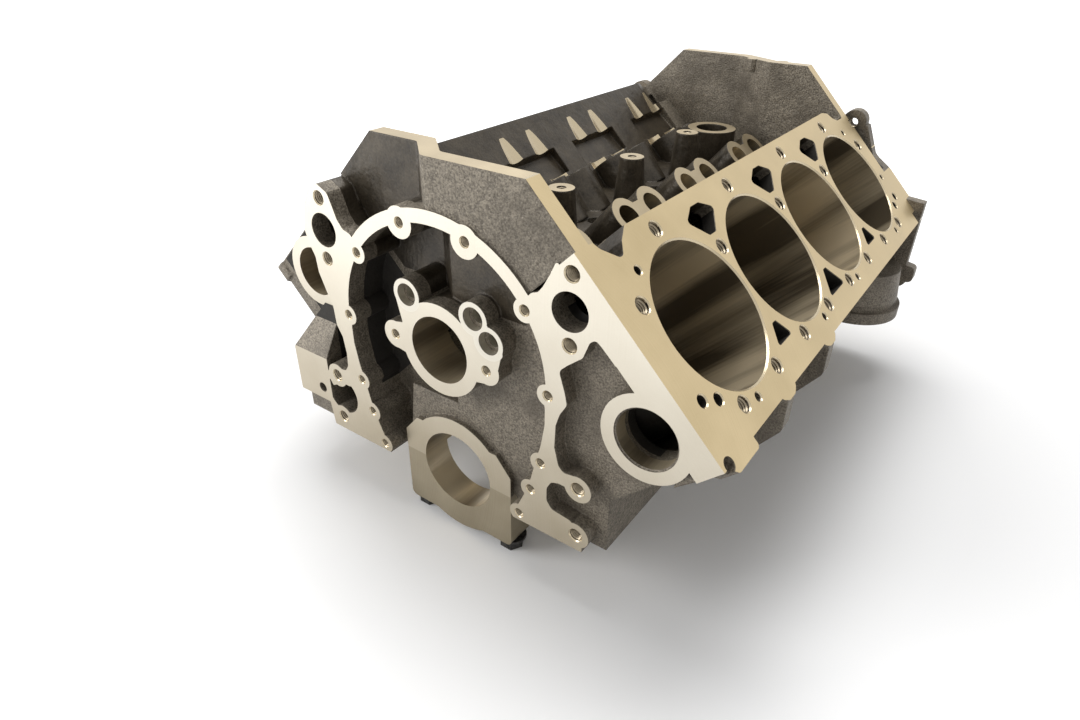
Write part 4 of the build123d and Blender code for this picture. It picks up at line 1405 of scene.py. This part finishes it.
@dataclass
class Studio:
    """Camera, lamps, world and floor.

    Args:
        eye: Place of the camera, in metres.
        right: Direction of the image's width.
        down: Direction of the image's height.
        lens: Focal length on a sensor 36 mm wide.
        target: Where the lamps point.
        floor: Height of the floor, in metres.
        floor_size: Half the floor's width.
        floor_seen: Brightness of the floor to the eye.
        floor_thrown: Brightness of the floor for the light that it throws back.
        glow: Strength of the floor's own light near the object and far from it.
        glow_reach: Distances from the object at which the two strengths hold.
        ambient: Strength of the world's light.
        lamps: The lamps.
    """

    eye: Vector = field(default_factory=lambda: Vector((0.3075, -0.3205, 0.3696)))
    right: Vector = field(default_factory=lambda: Vector((0.811, 0.585, 0.010)))
    down: Vector = field(default_factory=lambda: Vector((0.310, -0.416, -0.855)))
    lens: float = 23.91
    target: Vector = field(default_factory=lambda: Vector((0.0, 0.22, 0.1)))
    floor: float = -0.061
    floor_size: float = 12.0
    floor_seen: float = 0.92
    floor_thrown: float = 0.40
    glow: tuple[float, float] = (0.03, 0.8)
    glow_reach: tuple[float, float] = (0.35, 1.1)
    ambient: float = 0.38
    lamps: list[Lamp] = field(
        default_factory=lambda: [
            Lamp("key", Vector((-1.5, -1.3, 0.85)), 1.1, 28.0),
            Lamp("top", Vector((-0.3, 0.5, 2.0)), 1.3, 33.0),
        ]
    )

    def build_camera(self) -> None:
        """Sets the camera at the photograph's place, with its lens."""
        data = bpy.data.cameras.new("camera")
        data.sensor_width = 36.0
        data.lens = self.lens
        data.clip_start = 0.01
        camera = bpy.data.objects.new("camera", data)
        right = self.right.normalized()
        back = right.cross(-self.down).normalized()
        up = back.cross(right)
        frame = Matrix((right, up, back)).transposed().to_4x4()
        frame.translation = self.eye
        camera.matrix_world = frame
        bpy.context.collection.objects.link(camera)
        bpy.context.scene.camera = camera

    def build_world(self) -> None:
        """Makes a world that is white to the eye and in reflections, and lights softly."""
        world = bpy.data.worlds.new("studio")
        bpy.context.scene.world = world
        graph = Graph(world)
        backgrounds = []
        for strength in (self.ambient, 1.0):
            background = graph.node("ShaderNodeBackground")
            background.inputs["Color"].default_value = (1.0, 1.0, 1.0, 1.0)
            background.inputs["Strength"].default_value = strength
            backgrounds.append(background.outputs[0])
        graph.finish(graph.mix(graph.seen(), *backgrounds))

    def build_floor(self) -> None:
        """Lays a wide floor that is white to the eye, keeps the shadow and throws little light back."""
        mesh = bpy.data.meshes.new("floor")
        shape = bmesh.new()
        bmesh.ops.create_grid(shape, x_segments=1, y_segments=1, size=self.floor_size)
        shape.to_mesh(mesh)
        shape.free()
        plane = bpy.data.objects.new("floor", mesh)
        plane.location = (0, 0, self.floor - 0.0002)
        bpy.context.collection.objects.link(plane)
        graph = Graph(bpy.data.materials.new("floor_white"))
        paints = []
        for grey in (self.floor_thrown, self.floor_seen):
            paint = graph.node("ShaderNodeBsdfDiffuse")
            paint.inputs["Color"].default_value = (grey, grey, grey, 1.0)
            paints.append(paint.outputs[0])
        glow = graph.node("ShaderNodeEmission")
        seen = graph.seen()
        middle = Vector((0.0, 240.0, 0.0))
        far = graph.distance(middle, UP).ramp(*self.glow_reach, *self.glow)
        graph.link((seen * far).socket, glow.inputs["Strength"])
        add = graph.node("ShaderNodeAddShader")
        graph.link(graph.mix(seen, *paints), add.inputs[0])
        graph.link(glow.outputs[0], add.inputs[1])
        mesh.materials.append(graph.finish(add.outputs[0]))
        plane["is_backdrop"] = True

    def build(self) -> None:
        """Builds the whole studio."""
        self.build_camera()
        self.build_world()
        self.build_floor()
        for lamp in self.lamps:
            lamp.build(self.target)
        LOG.info("studio: camera, %d lamps, world and floor", len(self.lamps))


def main() -> tuple[Vector, Vector]:
    """Dresses the object and builds the studio.

    Returns:
        The CAD box, straight after the frame was loaded.
    """
    logging.basicConfig(level=logging.INFO, format="%(name)s %(message)s")
    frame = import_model()
    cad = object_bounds()
    bpy.context.scene.view_settings.view_transform = "Standard"
    layout = Layout()
    Studio().build()
    Casting(layout, frame["nodes"]).dress()
    ScrewThreads(layout).build()
    return cad


if __name__ == "__main__":
    main()
